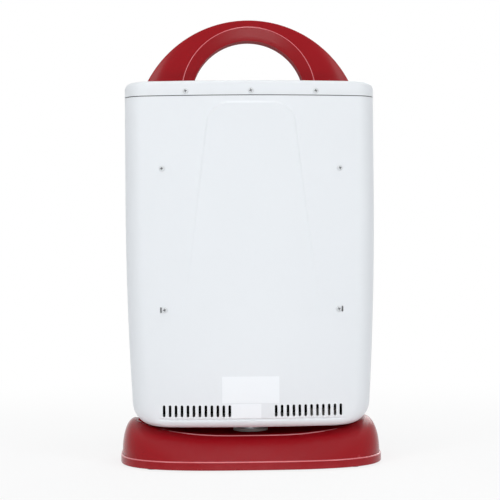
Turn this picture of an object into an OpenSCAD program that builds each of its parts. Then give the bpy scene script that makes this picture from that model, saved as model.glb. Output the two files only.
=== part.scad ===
// Electric room heater on a swivel base. Origin on the floor under the swivel axis, front towards -Y, +Z up.

/* [Base] */
// Width of the base at its lip
base_w = 332; // [310:1:370]
// Depth of the base at its lip
base_d = 226; // [200:1:260]
// Squareness of the lip's outline, where 2 is an ellipse
base_square = 3; // [2.4:0.1:4]
// Height at which the rubber feet hold the lip off the floor
foot_h = 1.5; // [1.2:0.1:3]
// Height of the upright lip
lip_h = 10.7; // [8:0.1:14]
// Step in from the lip to the foot of the dome
lip_step = 2; // [0.6:0.1:2.4]
// How far the deck's ends stand in from the lip's ends
deck_in = 16; // [12:0.5:30]
// Depth of the deck
deck_d = 122; // [100:1:150]
// Squareness of the deck's outline, where 2 is an ellipse
deck_square = 2.4; // [2:0.1:3]
// Height of the deck at the swivel
deck_z = 37; // [35:0.5:45]
// How far the deck's ends rise above its middle
deck_rise = 16; // [8:0.5:16]
// Wall of the base cover
base_wall = 2.6; // [1.8:0.1:3.5]
// Thickness of the steel base plate
plate_t = 1.6; // [1:0.1:2.5]
// Length of one rubber foot
foot_l = 44; // [30:1:60]
// Width of one rubber foot
foot_w = 13; // [8:1:20]
// Distance of the feet's middles from the lip's ends
foot_end = 57; // [56:1:70]
// Distance of the feet's middles from the lip's front and back
foot_side = 34; // [34:1:45]

/* [Swivel and swing drive] */
// Outer radius of the pivot tube
pivot_r = 15; // [12:0.5:17]
// Wall of the pivot tube
pivot_wall = 2.5; // [1.5:0.1:4]
// Radius of the pale flange of the swivel bush
bush_flange_r = 22; // [20:0.5:28]
// Thickness of the bush's flange
bush_flange_t = 3.4; // [2:0.1:5]
// Wall of the bush's sleeve
bush_wall = 3.5; // [2:0.1:5]
// Length of the bush's sleeve below the deck
bush_sleeve_l = 7; // [5:0.5:8]
// Radius of the screwed flange on top of the pivot tube
pivot_flange_r = 36; // [30:1:44]
// Tooth size of the swing gears, as pitch diameter over teeth
gear_module = 1.5; // [1:0.1:1.6]
// Teeth on the swing gear
gear_teeth = 48; // [40:2:54]
// Teeth on the motor's pinion
pinion_teeth = 18; // [16:2:20]
// Width of the gear teeth
gear_t = 6; // [4:0.5:7]
// Radius of the swing motor's can
motor_r = 24.5; // [20:0.5:28]
// Height of the swing motor's can
motor_h = 15.5; // [10:0.5:16]

/* [Body] */
// Gap between the deck and the underside of the body
swivel_gap = 11.5; // [10.5:0.5:20]
// Height of the body without its handle
body_h = 431.5; // [400:0.5:480]
// Width of the body in its upper half
body_w = 315; // [300:1:340]
// Depth of the body, with the swivel axis at its middle
body_d = 148; // [136:1:170]
// How far each side draws in towards the bottom
side_draw = 9.5; // [0:0.5:15]
// Height above the body's bottom at which the sides start to draw in
draw_start = 280; // [150:5:350]
// Radius of the bow of the rear face
rear_bow_r = 720; // [500:10:1500]
// Radius of the upright rear corners
rear_corner_r = 29; // [24:1:50]
// Radius of the upright front corners
front_corner_r = 20; // [10:1:24]
// Radius of the bottom corners, seen from behind
bottom_corner_r = 28; // [24:1:30]
// Radius of the bottom's rear edge
bottom_rear_r = 8; // [5:0.5:8.5]
// Radius of the bottom's front edge
bottom_front_r = 16; // [12:0.5:18]
// Radius of the top corners, seen from behind
top_corner_r = 9; // [6:0.5:14]
// Radius of the top's front and rear edges
top_edge_r = 4; // [3.5:0.5:8]
// Distance in front of the swivel axis of the joint between rear cover and front frame
joint_y = 4; // [0:1:20]
// Thickness of the bottom pan
pan_t = 1.2; // [0.8:0.1:2]
// Width of the flange that carries the bottom pan
pan_ledge_w = 9; // [8:0.5:14]

/* [Rear cover] */
// Thickness of the pressed sheet
cover_wall = 1; // [0.8:0.1:1.4]
// Height of the raised panel's top edge above the body's bottom
panel_top = 404.5; // [380:0.5:408]
// Height above the body's bottom at which the raised panel runs out
panel_foot = 128; // [100:1:200]
// Width of the raised panel at its top, before its corners are rounded
panel_top_w = 104; // [80:1:130]
// Width of the raised panel where it runs out
panel_foot_w = 172; // [140:1:190]
// How far the raised panel stands out at its top
panel_h = 1.8; // [0.8:0.1:3]
// Radius of the raised panel's top corners
panel_corner_r = 24; // [10:1:35]
// Intake slots in each of the two rows
vent_count = 12; // [6:1:12]
// Spacing of the intake slots
vent_pitch = 7.4; // [6:0.1:7.6]
// Width of an intake slot
vent_w = 3; // [2:0.1:3.5]
// Length of an intake slot
vent_l = 14; // [8:0.5:18]
// Distance of the innermost slots from the middle
vent_inner_x = 28.8; // [20:0.1:30]
// Height of the slots' middle above the body's bottom
vent_up = 20.5; // [19:0.5:40]
// Height of the creased line above the body's bottom
crease_up = 9.2; // [8.6:0.1:10]
// Length of the creased line
crease_l = 232; // [180:1:236]
// Distance of the upper rear screws from the middle
upper_screw_x = 111; // [106:0.5:113]
// Height of the upper rear screws above the body's bottom
upper_screw_up = 322.5; // [290:0.5:345]
// Distance of the lower rear screws from the middle
lower_screw_x = 108.5; // [106:0.5:113]
// Height of the lower rear screws above the body's bottom
lower_screw_up = 146.5; // [130:0.5:170]

/* [Top cap and handle] */
// Height of the top cap's skirt
cap_h = 18.5; // [15:0.5:28]
// Thickness of the top cap's sheet
cap_wall = 1.2; // [0.8:0.1:1.6]
// Width of the shadow line between cap and cover
seam_gap = 1; // [0.6:0.1:2]
// Distance of the outer cap screws from the middle
cap_screw_x = 81; // [60:0.5:105]
// Height of the cap's rear screws above the shadow line
cap_screw_up = 5; // [4:0.5:7]
// Outlet slots in each row of the cap
outlet_count = 15; // [7:2:17]
// Spacing of the outlet slots
outlet_pitch = 13; // [10:0.5:14]
// Length of an outlet slot
outlet_l = 24; // [12:1:28]
// Height of the handle above the cap
handle_h = 83; // [78:0.5:88]
// Radius of the handle's outer arch
handle_outer_r = 147; // [135:1:150]
// Radius of the outside of the raised band round the opening
handle_band_r = 85.6; // [82:0.2:90]
// Depth of the dark shoulder of the handle above the band, at its top
handle_crown = 9; // [6:0.5:12]
// Radius of the opening
handle_open_r = 73; // [66:0.5:74]
// Thickness of the band between its top and the opening
handle_grip = 17; // [14:0.5:22]
// Thickness of the handle from front to back at the band
handle_t = 36; // [30:0.5:38]
// How far the band stands proud of the handle's sides
band_step = 1; // [0.5:0.1:2]
// How far the band's faces are dished towards the opening
band_dish = 4.5; // [1:0.5:6]
// Rounding of the band's outer edges
band_round = 1; // [0.5:0.5:2]

/* [Front] */
// Wall of the moulded front frame
frame_wall = 2.2; // [1.8:0.1:2.6]
// Width of the radiant window
window_w = 252; // [220:1:254]
// Height of the radiant window
window_h = 282; // [262:1:286]
// Height of the window's lower edge above the body's bottom
window_up = 108; // [105:1:110]
// Corner radius of the window
window_r = 14; // [8:1:20]
// Depth of the wall that returns inwards round the window
window_depth = 14; // [10:1:16]
// Radius of the guard's rim rod
rim_r = 2.2; // [1.5:0.1:2.6]
// Radius of the guard's wires
wire_r = 1.2; // [0.8:0.1:1.4]
// Upright wires in the guard
wire_count = 29; // [27:2:33]
// Cross wires in the guard
cross_count = 3; // [2:1:5]
// Thickness of the chassis plates
chassis_t = 1; // [0.8:0.1:1.5]

/* [Heating] */
// Radius of a quartz tube
tube_r = 6; // [5:0.5:7]
// Wall of a quartz tube
tube_wall = 1.2; // [0.8:0.1:1.5]
// Spacing of the tubes
tube_pitch = 82.5; // [70:0.5:84]
// Height of the middle tube above the body's bottom
tube_up = 249; // [240:1:256]
// Distance of the tubes in front of the swivel axis
tube_y = 40; // [38:0.5:44]
// Radius of the coil inside a tube
coil_r = 3.4; // [2.5:0.1:3.6]
// Radius of a ceramic end cap
ceramic_r = 9; // [8.8:0.1:11]
// Length of a ceramic end cap outside the chassis
ceramic_l = 17; // [12:0.5:18]
// Thickness of the reflector sheet
reflector_t = 0.8; // [0.5:0.1:1.2]
// Depth of a reflector trough
trough_depth = 32; // [26:0.5:34]
// Width of the flat lands between troughs
trough_land = 4.5; // [3:0.5:8]
// Distance of the reflector's lands in front of the swivel axis
reflector_y = 50; // [49:0.5:51]
// Distance of the heat shield behind the swivel axis
shield_y = 12; // [5:1:25]
// Thickness of the heat shield
shield_t = 0.8; // [0.5:0.1:1.2]
// Depth of the heat shield's side flanges
shield_flange = 10; // [6:0.5:12]
// Distance of the heat shield's edges from the chassis plates' ends
shield_in = 4; // [2:0.5:8]
// Length of a slot in the heat shield
shield_slot_l = 16; // [10:0.5:18]
// Width of a slot in the heat shield
shield_slot_w = 5; // [3:0.5:7]
// Spacing of the slots in the heat shield
shield_slot_pitch = 24; // [20:0.5:26]

/* [Controls] */
// Width of the control panel
fascia_w = 224; // [200:1:236]
// Height of the control panel
fascia_h = 72; // [64:1:76]
// Height of the control panel's lower edge above the body's bottom
fascia_up = 20; // [18:1:24]
// Thickness of the control panel
fascia_t = 2; // [1.5:0.1:2.5]
// Distance of the knobs from the middle
knob_x = 68; // [55:1:75]
// Radius of a knob
knob_r = 19; // [14:0.5:24]
// Depth of a knob
knob_d = 17; // [12:0.5:22]
// Radius of a knob's shaft
shaft_r = 3; // [2.5:0.1:4]
// Radius of the swing button
button_r = 8; // [6:0.5:10]
// Travel of the swing button
button_travel = 3; // [2:0.5:3.5]
// Radius of the pilot lamp's lens
lamp_r = 4; // [3:0.5:6]

/* [Fasteners and fits] */
// Radius of a pan screw's head
head_r = 3.9; // [3:0.1:4.2]
// Height of a pan screw's head
head_h = 2.2; // [1.4:0.1:2.6]
// Radius of a screw's shank
shank_r = 1.6; // [1.2:0.1:2]
// Length of the screws in the rear cover and the top cap
sheet_screw_l = 8; // [6:0.5:10]
// Length of the base plate's screws
plate_screw_l = 12; // [8:0.5:13]
// Length of the swing motor's screws
motor_screw_l = 9; // [7:0.5:10]
// Length of the bottom pan's screws below their heads
pan_screw_l = 4; // [3:0.5:5]
// Length of the chassis screws in the front frame's posts
post_screw_l = 6; // [4:0.5:7]
// Length of the handle's screws
handle_screw_l = 12; // [8:0.5:14]
// Gap between pieces that are fixed together
fit = 0.2; // [0.1:0.05:0.3]
// Radial clearance of a running shaft
run_fit = 0.06; // [0.03:0.01:0.1]
// Gap between pieces that move past each other
move_gap = 0.3; // [0.25:0.05:0.5]
// Play between meshing gears, added to their centre distance
backlash = 0.15; // [0.1:0.05:0.25]

/* [Hidden] */
$fn = 48;

white = [0.93, 0.94, 0.95];
red = [0.62, 0.14, 0.18];
steel = [0.7, 0.71, 0.73];
chrome = [0.85, 0.86, 0.88];
black = [0.1, 0.1, 0.11];
ceramic = [0.92, 0.9, 0.86];
grey = [0.55, 0.56, 0.58];

// A small length by which cutters run past what they cut
over = 1;

// Main levels of the base
lip_z = foot_h + lip_h;
plate_z = foot_h + 1;
plate_top = plate_z + plate_t;
deck_under = deck_z - base_wall;
deck_w = base_w - 2 * deck_in;
foot_x = base_w / 2 - foot_end;
foot_y = base_d / 2 - foot_side;

// Main levels and faces of the body
body_z = deck_z + swivel_gap;
body_top = body_z + body_h;
rear_y = body_d / 2;
front_y = -body_d / 2;
split_y = -joint_y;
seam_z = body_top - cap_h;
pan_z = body_z + frame_wall + fit / 4;
pan_top = pan_z + pan_t;

// Swivel levels, from the deck up to the pan and down to the gear
bush_top = deck_z + bush_flange_t;
bush_sleeve_r = pivot_r + run_fit + bush_wall;
bush_bottom = deck_z - bush_sleeve_l;
pivot_flange_t = 3.4;
pivot_flange_top = pan_z - fit / 4;
pivot_shoulder_r = bush_flange_r - 4;
gear_hub_h = 1.2;
gear_top = bush_bottom - move_gap - gear_hub_h;
gear_z = gear_top - gear_t;
clip_t = 1.6;
clip_z = gear_z - fit - clip_t;
pivot_bottom = clip_z - 0.8;

// Gear pair
gear_pitch_r = gear_module * gear_teeth / 2;
pinion_pitch_r = gear_module * pinion_teeth / 2;
pinion_x = gear_pitch_r + pinion_pitch_r + backlash;
pressure_angle = 20;

// Swing motor, hung from the base cover by its ears
motor_top = gear_z - 1.5;
motor_z = motor_top - motor_h;
motor_ear_t = 1.6;
motor_ear_y = motor_r + 7;
motor_ear_r = 6;
motor_shaft_r = 3;

// Tip-over plunger and its switch
tip_x = -76;
tip_stem_r = 4;
tip_collar_r = 6;
tip_travel = 5;
tip_collar_z = plate_top + tip_travel + fit;
tip_sleeve_wall = 1.8;
tip_sleeve_h = 17;
tip_push_r = 2.5;
tip_switch_h = 9;
tip_switch_w = 20;
tip_switch_d = 10;
tip_switch_top = deck_under - fit;
tip_switch_z = tip_switch_top - tip_switch_h;

// Places of the base plate's screws
plate_screw_x = base_w / 2 - 30;
plate_screw_y = base_d / 2 - 35;
plate_screw_at = [
    for (s = [-1, 1]) [s * plate_screw_x, 0],
    for (x = [-1, 1], y = [-1, 1]) [x * base_w / 5, y * plate_screw_y]
];
plate_boss_r = 5.5;

// Heights and faces inside the front
window_z = body_z + window_up;
window_top = window_z + window_h;
chassis_x = window_w / 2 + frame_wall + fit + chassis_t;
chassis_z = window_z + 6;
chassis_top = window_top - 6;
chassis_front = front_y + window_depth - 2;
chassis_rear = rear_y - 26;
lug_x = chassis_x + 9;
lug_w = 18;
lug_rows = [chassis_z + 12, chassis_top - 12];
guard_y = front_y + 5;
tube_rows = [for (i = [-1:1]) body_z + tube_up + i * tube_pitch];
cap_spigot_r = tube_r + 1.6;

// Control panel
fascia_z = body_z + fascia_up;
fascia_mid = fascia_z + fascia_h / 2;
fascia_r = 8;
fascia_lip = 5;
fascia_front = front_y + 0.2;
fascia_back = fascia_front + fascia_t;
knob_gap = 1;
knob_front = fascia_front - knob_gap - knob_d;
bush_r = shaft_r + 2;
button_z = fascia_mid - 12;
lamp_z = fascia_mid + 16;
button_proud = 4.5;

// Handle arcs, seen along Y
handle_top = body_top + handle_h;
handle_outer_z = handle_top - handle_outer_r;
handle_band_z = handle_top - handle_crown - handle_band_r;
handle_open_z = handle_top - handle_crown - handle_grip - handle_open_r;
handle_side = handle_t / 2 - band_step;
handle_edge_r = 8;
handle_screw_x = handle_open_r + 22;
handle_screw_y = 5;

// Outline and surface helpers

function arc(cx, cy, r, from, to, steps) =
    [for (i = [0:steps]) let (a = from + (to - from) * i / steps) [cx + r * cos(a), cy + r * sin(a)]];

function reversed(list) = [for (i = [len(list) - 1:-1:0]) list[i]];

function mirrored(list) = [for (p = reversed(list)) [-p[0], p[1]]];

// Half of the body's plan, from the middle of its front round the right side to the middle of its rear
function half_plan(half_w, rear, front, bow, corner, front_corner) =
    let (
        bow_y = rear - bow,
        corner_y = bow_y + sqrt(pow(bow - corner, 2) - pow(half_w - corner, 2)),
        meet = atan2(corner_y - bow_y, half_w - corner)
    )
    concat(
        arc(half_w - front_corner, front + front_corner, front_corner, -90, 0, 5),
        arc(half_w - corner, corner_y, corner, 0, meet, 8),
        [for (i = [1:7]) let (a = meet + (90 - meet) * i / 7) [bow * cos(a), bow_y + bow * sin(a)]]
    );

function body_plan(half_w, rear, front, inset) =
    let (
        corner = rear_corner_r - inset,
        half = half_plan(half_w, rear, front, rear_bow_r - inset, corner, front_corner_r - inset)
    )
    concat(half, mirrored([for (i = [0:len(half) - 2]) half[i]]));

function half_width(up) = body_w / 2 - side_draw * pow(max(0, (draw_start - up) / draw_start), 2);

function round_in(r, up) = up < r ? r - sqrt(r * r - pow(r - up, 2)) : 0;

// Heights of the body's slices above its bottom, close together where its edges are rounded
function upper_slices(inset) =
    concat([draw_start], [for (a = [90:-22.5:0]) body_h - inset - (top_corner_r - inset) * (1 - cos(a))]);

function lower_slices(inset) =
    concat(
        [for (a = [0:18:90]) inset + (bottom_corner_r - inset) * (1 - cos(a))],
        [for (i = [1:3]) bottom_corner_r + (draw_start - bottom_corner_r) * i / 4]
    );

// A solid skinned over rings of equal length, from the lowest to the highest
module loft(rings) {
    n = len(rings[0]);
    last = (len(rings) - 1) * n;
    sides = [for (r = [0:len(rings) - 2], i = [0:n - 1])
        let (a = r * n + i, b = r * n + (i + 1) % n, quad = [a, a + n, b + n, b])
        for (f = [[quad[0], quad[1], quad[2]], [quad[0], quad[2], quad[3]]]) f];
    bottom = [for (i = [0:n - 1]) i];
    top = [for (i = [n - 1:-1:0]) last + i];
    polyhedron([for (r = rings) each r], concat(sides, [bottom, top]), convexity = 4);
}

// Outer form of the whole body, shrunk on every side by the inset
module body_form(inset) {
    loft([for (up = concat(lower_slices(inset), upper_slices(inset))) body_ring(inset, up)]);
}

// The same form without its lower part, where the sides draw in
module upper_form(inset) {
    loft([for (up = upper_slices(inset)) body_ring(inset, up)]);
}

function body_ring(inset, up) =
    let (
        from_low = up - inset,
        from_top = body_h - inset - up,
        side_in = round_in(bottom_corner_r - inset, from_low) + round_in(top_corner_r - inset, from_top),
        top_in = round_in(top_edge_r - inset, from_top),
        rear_in = round_in(bottom_rear_r - inset, from_low) + top_in,
        front_in = round_in(bottom_front_r - inset, from_low) + top_in
    )
    at_height(
        body_plan(
            half_width(up) - inset - side_in,
            rear_y - inset - rear_in,
            front_y + inset + front_in,
            inset
        ),
        body_z + up
    );

function at_height(outline, z) = [for (p = outline) [p[0], p[1], z]];

// Everything between two heights, or in front of or behind a plane
module between_z(low, high) {
    translate([-body_w, -body_w, low])
        cube([2 * body_w, 2 * body_w, high - low]);
}

module behind_y(y) {
    translate([-body_w, y, 0])
        cube([2 * body_w, 2 * body_w, 2 * body_h]);
}

module before_y(y) {
    translate([-body_w, y - 2 * body_w, 0])
        cube([2 * body_w, 2 * body_w, 2 * body_h]);
}

// Puts a piece on the bowed rear face, with its own +Z pointing straight out of the face
module on_rear(x, z) {
    translate([0, rear_y - rear_bow_r, 0])
        rotate([0, 0, -asin(x / rear_bow_r)])
            translate([0, rear_bow_r, z])
                rotate([-90, 0, 0])
                    children();
}

// Puts a piece with its own +Z pointing out of the front
module on_front(x, y, z) {
    translate([x, y, z])
        rotate([90, 0, 0])
            children();
}

module obround(length, width, height) {
    linear_extrude(height) {
        square([length - width, width], center = true);
        for (s = [-1, 1])
            translate([s * (length - width) / 2, 0])
                circle(d = width);
    }
}

module rounded_rect(w, h, r) {
    square([w - 2 * r, h], center = true);
    square([w, h - 2 * r], center = true);
    for (x = [-1, 1], y = [-1, 1])
        translate([x * (w / 2 - r), y * (h / 2 - r)])
            circle(r);
}

module ring(outer, inner, height) {
    difference() {
        cylinder(h = height, r = outer);
        translate([0, 0, -over])
            cylinder(h = height + 2 * over, r = inner);
    }
}

// A pan screw whose head stands on the plane z = 0 and whose shank goes down
module pan_screw(length) {
    recess_l = 1.1 * head_r;
    recess_w = 0.28 * head_r;
    difference() {
        union() {
            cylinder(h = head_h * 0.6, r = head_r);
            translate([0, 0, head_h * 0.6])
                cylinder(h = head_h * 0.4, r1 = head_r, r2 = head_r * 0.7);
            translate([0, 0, -length])
                cylinder(h = length + over / 2, r = shank_r);
        }
        for (turn = [0, 90])
            rotate(turn)
                translate([-recess_l / 2, -recess_w / 2, head_h * 0.45])
                    cube([recess_l, recess_w, head_h]);
    }
}

// A countersunk screw whose flat head is level with the plane z = 0 and whose shank goes down
module flat_screw(length, top_r) {
    cylinder(h = top_r - shank_r, r1 = shank_r, r2 = top_r);
    translate([0, 0, -length])
        cylinder(h = length + over / 2, r = shank_r);
}

// Base

function superellipse(a, b, n, t) =
    [a * sign(cos(t)) * pow(abs(cos(t)), 2 / n), b * sign(sin(t)) * pow(abs(sin(t)), 2 / n)];

ring_steps = 72;
dome_steps = 7;
deck_flat = 24;

function lip_ring(inset, z) =
    [for (i = [0:ring_steps - 1])
        let (p = superellipse(base_w / 2 - inset, base_d / 2 - inset, base_square, 360 * i / ring_steps))
        [p[0], p[1], z]];

// The deck is flat round the swivel and curves up to its ends, which stand beside the body's bottom corners
function deck_height(x) =
    deck_z + deck_rise * pow(max(0, (abs(x) - deck_flat) / (deck_w / 2 - deck_flat)), 2.4);

// A ring on the dome, from its foot at u = 0 to the deck's edge at u = 1
// The dome is steep and full at the base's ends and slopes at its front and back
function dome_ring(u, inset) =
    [for (i = [0:ring_steps - 1])
        let (
            t = 360 * i / ring_steps,
            step_in = lip_step + inset,
            foot = superellipse(base_w / 2 - step_in, base_d / 2 - step_in, base_square, t),
            edge = superellipse(deck_w / 2, deck_d / 2, deck_square, t),
            edge_z = deck_height(edge[0]) - inset,
            foot_z = lip_z - inset,
            ends = pow(cos(t), 2),
            draw = 0.45 * (1 - ends),
            rise = 0.84 * ends + 0.66 * (1 - ends),
            knee = foot + (edge - foot) * draw,
            knee_z = foot_z + (edge_z - foot_z) * rise,
            p = foot * pow(1 - u, 2) + knee * 2 * u * (1 - u) + edge * pow(u, 2),
            z = foot_z * pow(1 - u, 2) + knee_z * 2 * u * (1 - u) + edge_z * pow(u, 2)
        )
        [p[0], p[1], z]];

// A ring on the deck, at a share of the way from its middle to its edge
function deck_ring(share, inset) =
    [for (i = [0:ring_steps - 1])
        let (p = superellipse(share * deck_w / 2, share * deck_d / 2, deck_square, 360 * i / ring_steps))
        [p[0], p[1], deck_height(p[0]) - inset]];

// Form of the base, filled down to a given height; an inset gives the form of its inside
module base_form(inset, low) {
    loft(concat(
        [lip_ring(inset, low), lip_ring(inset, lip_z - inset - 0.7)],
        [lip_ring(inset + 0.25, lip_z - inset - 0.2), lip_ring(inset + 0.7, lip_z - inset)],
        [for (i = [0:dome_steps]) dome_ring(i / dome_steps, inset)],
        [for (share = [0.9, 0.75, 0.55, 0.25]) deck_ring(share, inset)]
    ));
}

module base_cover() {
    color(red)
    difference() {
        base_form(0, foot_h);
        difference() {
            base_form(base_wall, foot_h - over);
            translate([0, 0, bush_bottom + 1])
                cylinder(h = deck_z, r = bush_sleeve_r + 5);
            translate([tip_x, 0, tip_switch_top + fit / 2])
                cylinder(h = deck_z, r = tip_switch_w / 2);
            for (p = plate_screw_at)
                translate([p[0], p[1], plate_top + fit / 2])
                    cylinder(h = 2 * deck_z, r = plate_boss_r);
            for (s = [-1, 1])
                translate([pinion_x, s * motor_ear_y, motor_top + fit / 2])
                    cylinder(h = deck_z, r = motor_ear_r - 1);
        }
        cylinder(h = 2 * deck_z, r = bush_sleeve_r + fit / 2);
        for (p = plate_screw_at)
            translate([p[0], p[1], foot_h])
                cylinder(h = plate_screw_l + 4, r = shank_r + fit / 2);
        for (s = [-1, 1])
            translate([pinion_x, s * motor_ear_y, motor_z])
                cylinder(h = motor_h + motor_screw_l, r = shank_r + fit / 2);
    }
}

module base_plate() {
    color(steel)
    difference() {
        union() {
            translate([0, 0, plate_z])
                linear_extrude(plate_t)
                    polygon([for (p = lip_ring(base_wall + fit, 0)) [p[0], p[1]]]);
            translate([tip_x, 0, plate_z])
                cylinder(h = tip_sleeve_h + plate_t, r = tip_collar_r + move_gap + tip_sleeve_wall);
        }
        translate([tip_x, 0, 0])
            cylinder(h = deck_z, r = tip_stem_r + move_gap);
        translate([tip_x, 0, plate_top])
            cylinder(h = deck_z, r = tip_collar_r + move_gap);
        for (p = plate_screw_at)
            translate([p[0], p[1], 0])
                cylinder(h = deck_z, r = shank_r + fit);
        for (x = [-1, 1], y = [-1, 1])
            translate([x * foot_x, y * foot_y, 0])
                cylinder(h = deck_z, r = foot_w / 4 + fit / 2);
        translate([gland_at[0], gland_at[1], 0])
            cylinder(h = deck_z, r = gland_r + fit / 2);
    }
}

module rubber_feet() {
    color(black)
    for (x = [-1, 1], y = [-1, 1])
        translate([x * foot_x, y * foot_y, 0]) {
            obround(foot_l, foot_w, plate_z - fit / 4);
            cylinder(h = plate_top + 1.5, r = foot_w / 4);
        }
}

module base_plate_screws() {
    color(steel)
    for (p = plate_screw_at)
        translate([p[0], p[1], plate_z - fit / 4])
            mirror([0, 0, 1])
                intersection() {
                    pan_screw(plate_screw_l);
                    translate([0, 0, -2 * plate_screw_l])
                        cylinder(h = 2 * plate_screw_l + plate_z - 0.6, r = head_r + over);
                }
}

gland_at = [54 - base_w / 2, 77 - base_d / 2];
gland_r = 7;
gland_bore_r = 3.6;

module cord_gland() {
    color(black)
    translate([gland_at[0], gland_at[1], plate_z - 1.2])
    difference() {
        union() {
            cylinder(h = 12, r = gland_r);
            cylinder(h = 1.2 - fit / 4, r = gland_r + 2);
        }
        translate([0, 0, -over])
            cylinder(h = 12 + 2 * over, r = gland_bore_r);
    }
}

module tip_plunger() {
    color(grey)
    translate([tip_x, 0, 0]) {
        cylinder(h = tip_collar_z, r = tip_stem_r);
        translate([0, 0, tip_collar_z])
            cylinder(h = 2, r = tip_collar_r);
        cylinder(h = tip_switch_z - move_gap, r = tip_push_r);
    }
}

module tip_switch() {
    color(black)
    translate([tip_x, 0, tip_switch_z])
    difference() {
        translate([-tip_switch_w / 2, -tip_switch_d / 2, 0])
            cube([tip_switch_w, tip_switch_d, tip_switch_h]);
        for (x = [-1, 1])
            translate([x * tip_switch_w * 0.28, 0, tip_switch_h * 0.4])
                rotate([90, 0, 0])
                    cylinder(h = tip_switch_d + 2 * over, r = 1.4, center = true);
    }
}

// Swivel and swing drive

module swivel_bush() {
    color([0.68, 0.65, 0.62])
    difference() {
        union() {
            translate([0, 0, deck_z + fit / 4])
                cylinder(h = bush_flange_t - fit / 4, r = bush_flange_r);
            translate([0, 0, bush_bottom])
                cylinder(h = bush_sleeve_l + over, r = bush_sleeve_r);
        }
        cylinder(h = body_z, r = pivot_r + run_fit);
    }
}

pivot_screw_ring = pivot_flange_r - 7;

module pivot_tube() {
    color(steel)
    difference() {
        union() {
            translate([0, 0, pivot_bottom])
                cylinder(h = pivot_flange_top - pivot_bottom, r = pivot_r);
            translate([0, 0, bush_top + move_gap])
                cylinder(h = pivot_flange_top - bush_top - move_gap, r = pivot_shoulder_r);
            translate([0, 0, pivot_flange_top - pivot_flange_t])
                cylinder(h = pivot_flange_t, r = pivot_flange_r);
        }
        translate([0, 0, pivot_bottom - over])
            cylinder(h = body_z, r = pivot_r - pivot_wall);
        translate([0, 0, clip_z])
            ring(pivot_r + over, pivot_r - pivot_wall / 2, clip_t);
        for (a = [45:90:315])
            rotate(a)
                translate([pivot_screw_ring, 0, pivot_flange_top - 2 * pivot_flange_t])
                    cylinder(h = 4 * pivot_flange_t, r = shank_r + fit / 2);
    }
}

module pivot_screws() {
    color(steel)
    for (a = [45:90:315])
        rotate(a)
            translate([pivot_screw_ring, 0, pan_top + fit / 4])
                pan_screw(pan_t + pivot_flange_t);
}

// Angle between a tooth's middle and its flank at a radius, thinned by half the play
function inv(angle) = tan(angle) * 180 / PI - angle;

function flank_angle(r, teeth, base_r, pitch_r) =
    90 / teeth + inv(pressure_angle) - inv(acos(min(1, base_r / r))) - backlash / pitch_r * 180 / PI / 2;

module spur_gear(teeth, height) {
    pitch_r = gear_module * teeth / 2;
    base_r = pitch_r * cos(pressure_angle);
    tip_r = pitch_r + 0.95 * gear_module;
    root_r = pitch_r - 1.25 * gear_module;
    start_r = max(base_r, root_r);
    flank_r = concat([root_r], [for (i = [0:4]) start_r + (tip_r - start_r) * i / 4]);
    flank_a = [for (r = flank_r) flank_angle(max(r, start_r), teeth, base_r, pitch_r)];
    last = len(flank_r) - 1;
    linear_extrude(height)
        polygon([for (k = [0:teeth - 1]) let (mid = 360 * k / teeth) each concat(
            [for (i = [0:last]) flank_r[i] * [cos(mid - flank_a[i]), sin(mid - flank_a[i])]],
            [for (i = [last:-1:0]) flank_r[i] * [cos(mid + flank_a[i]), sin(mid + flank_a[i])]]
        )]);
}

module swing_gear() {
    color([0.9, 0.88, 0.82])
    difference() {
        union() {
            translate([0, 0, gear_z])
                spur_gear(gear_teeth, gear_t);
            translate([0, 0, gear_top - over])
                cylinder(h = gear_hub_h + over, r = pivot_r + 4);
        }
        cylinder(h = body_z, r = pivot_r + fit / 4);
        for (a = [0:60:300])
            rotate(a + 30)
                translate([(gear_pitch_r + pivot_r) / 2 + 1, 0, 0])
                    cylinder(h = body_z, r = 5);
    }
}

module swivel_clip() {
    color(steel)
    translate([0, 0, clip_z + fit / 4])
    difference() {
        ring(pivot_r + 4, pivot_r - pivot_wall / 2 + fit / 4, clip_t - fit / 2);
        translate([0, 0, -over])
            rotate(200)
                linear_extrude(clip_t + 2 * over)
                    polygon([[0, 0], [3 * pivot_r, -pivot_r], [3 * pivot_r, pivot_r]]);
    }
}

module swing_pinion() {
    color([0.9, 0.88, 0.82])
    translate([pinion_x, 0, 0]) {
        translate([0, 0, gear_z])
            rotate(180 / pinion_teeth)
                spur_gear(pinion_teeth, gear_t);
        translate([0, 0, motor_top - motor_h / 2])
            cylinder(h = gear_top - motor_top + motor_h / 2, r = motor_shaft_r);
    }
}

module swing_motor() {
    color(steel)
    translate([pinion_x, 0, 0])
    difference() {
        union() {
            translate([0, 0, motor_z])
                cylinder(h = motor_h, r = motor_r);
            translate([0, 0, motor_top - motor_ear_t])
                rotate(90)
                    obround(2 * (motor_ear_y + motor_ear_r), 2 * motor_ear_r, motor_ear_t);
            translate([motor_r - 3, -motor_r * 0.3, motor_z + 3])
                cube([8, motor_r * 0.6, motor_h - 6]);
        }
        translate([0, 0, motor_top - motor_h * 0.65])
            cylinder(h = motor_h, r = motor_shaft_r + run_fit);
        for (s = [-1, 1])
            translate([0, s * motor_ear_y, 0])
                cylinder(h = deck_z, r = shank_r + fit);
    }
}

module swing_motor_screws() {
    color(steel)
    for (s = [-1, 1])
        translate([pinion_x, s * motor_ear_y, motor_top - motor_ear_t - fit / 4])
            mirror([0, 0, 1])
                pan_screw(motor_screw_l);
}

// Body

// Outline of the body's flat underside, drawn in by a margin
module underside(margin) {
    polygon(body_plan(
        half_width(0) - bottom_corner_r - margin,
        rear_y - bottom_rear_r - margin,
        front_y + bottom_front_r + margin,
        0
    ));
}

pan_screw_x = half_width(0) - bottom_corner_r - pan_ledge_w / 2;
pan_screw_at = [for (x = [-1, 1], y = [rear_y - 38, front_y + 34]) [x * pan_screw_x, y]];

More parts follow.
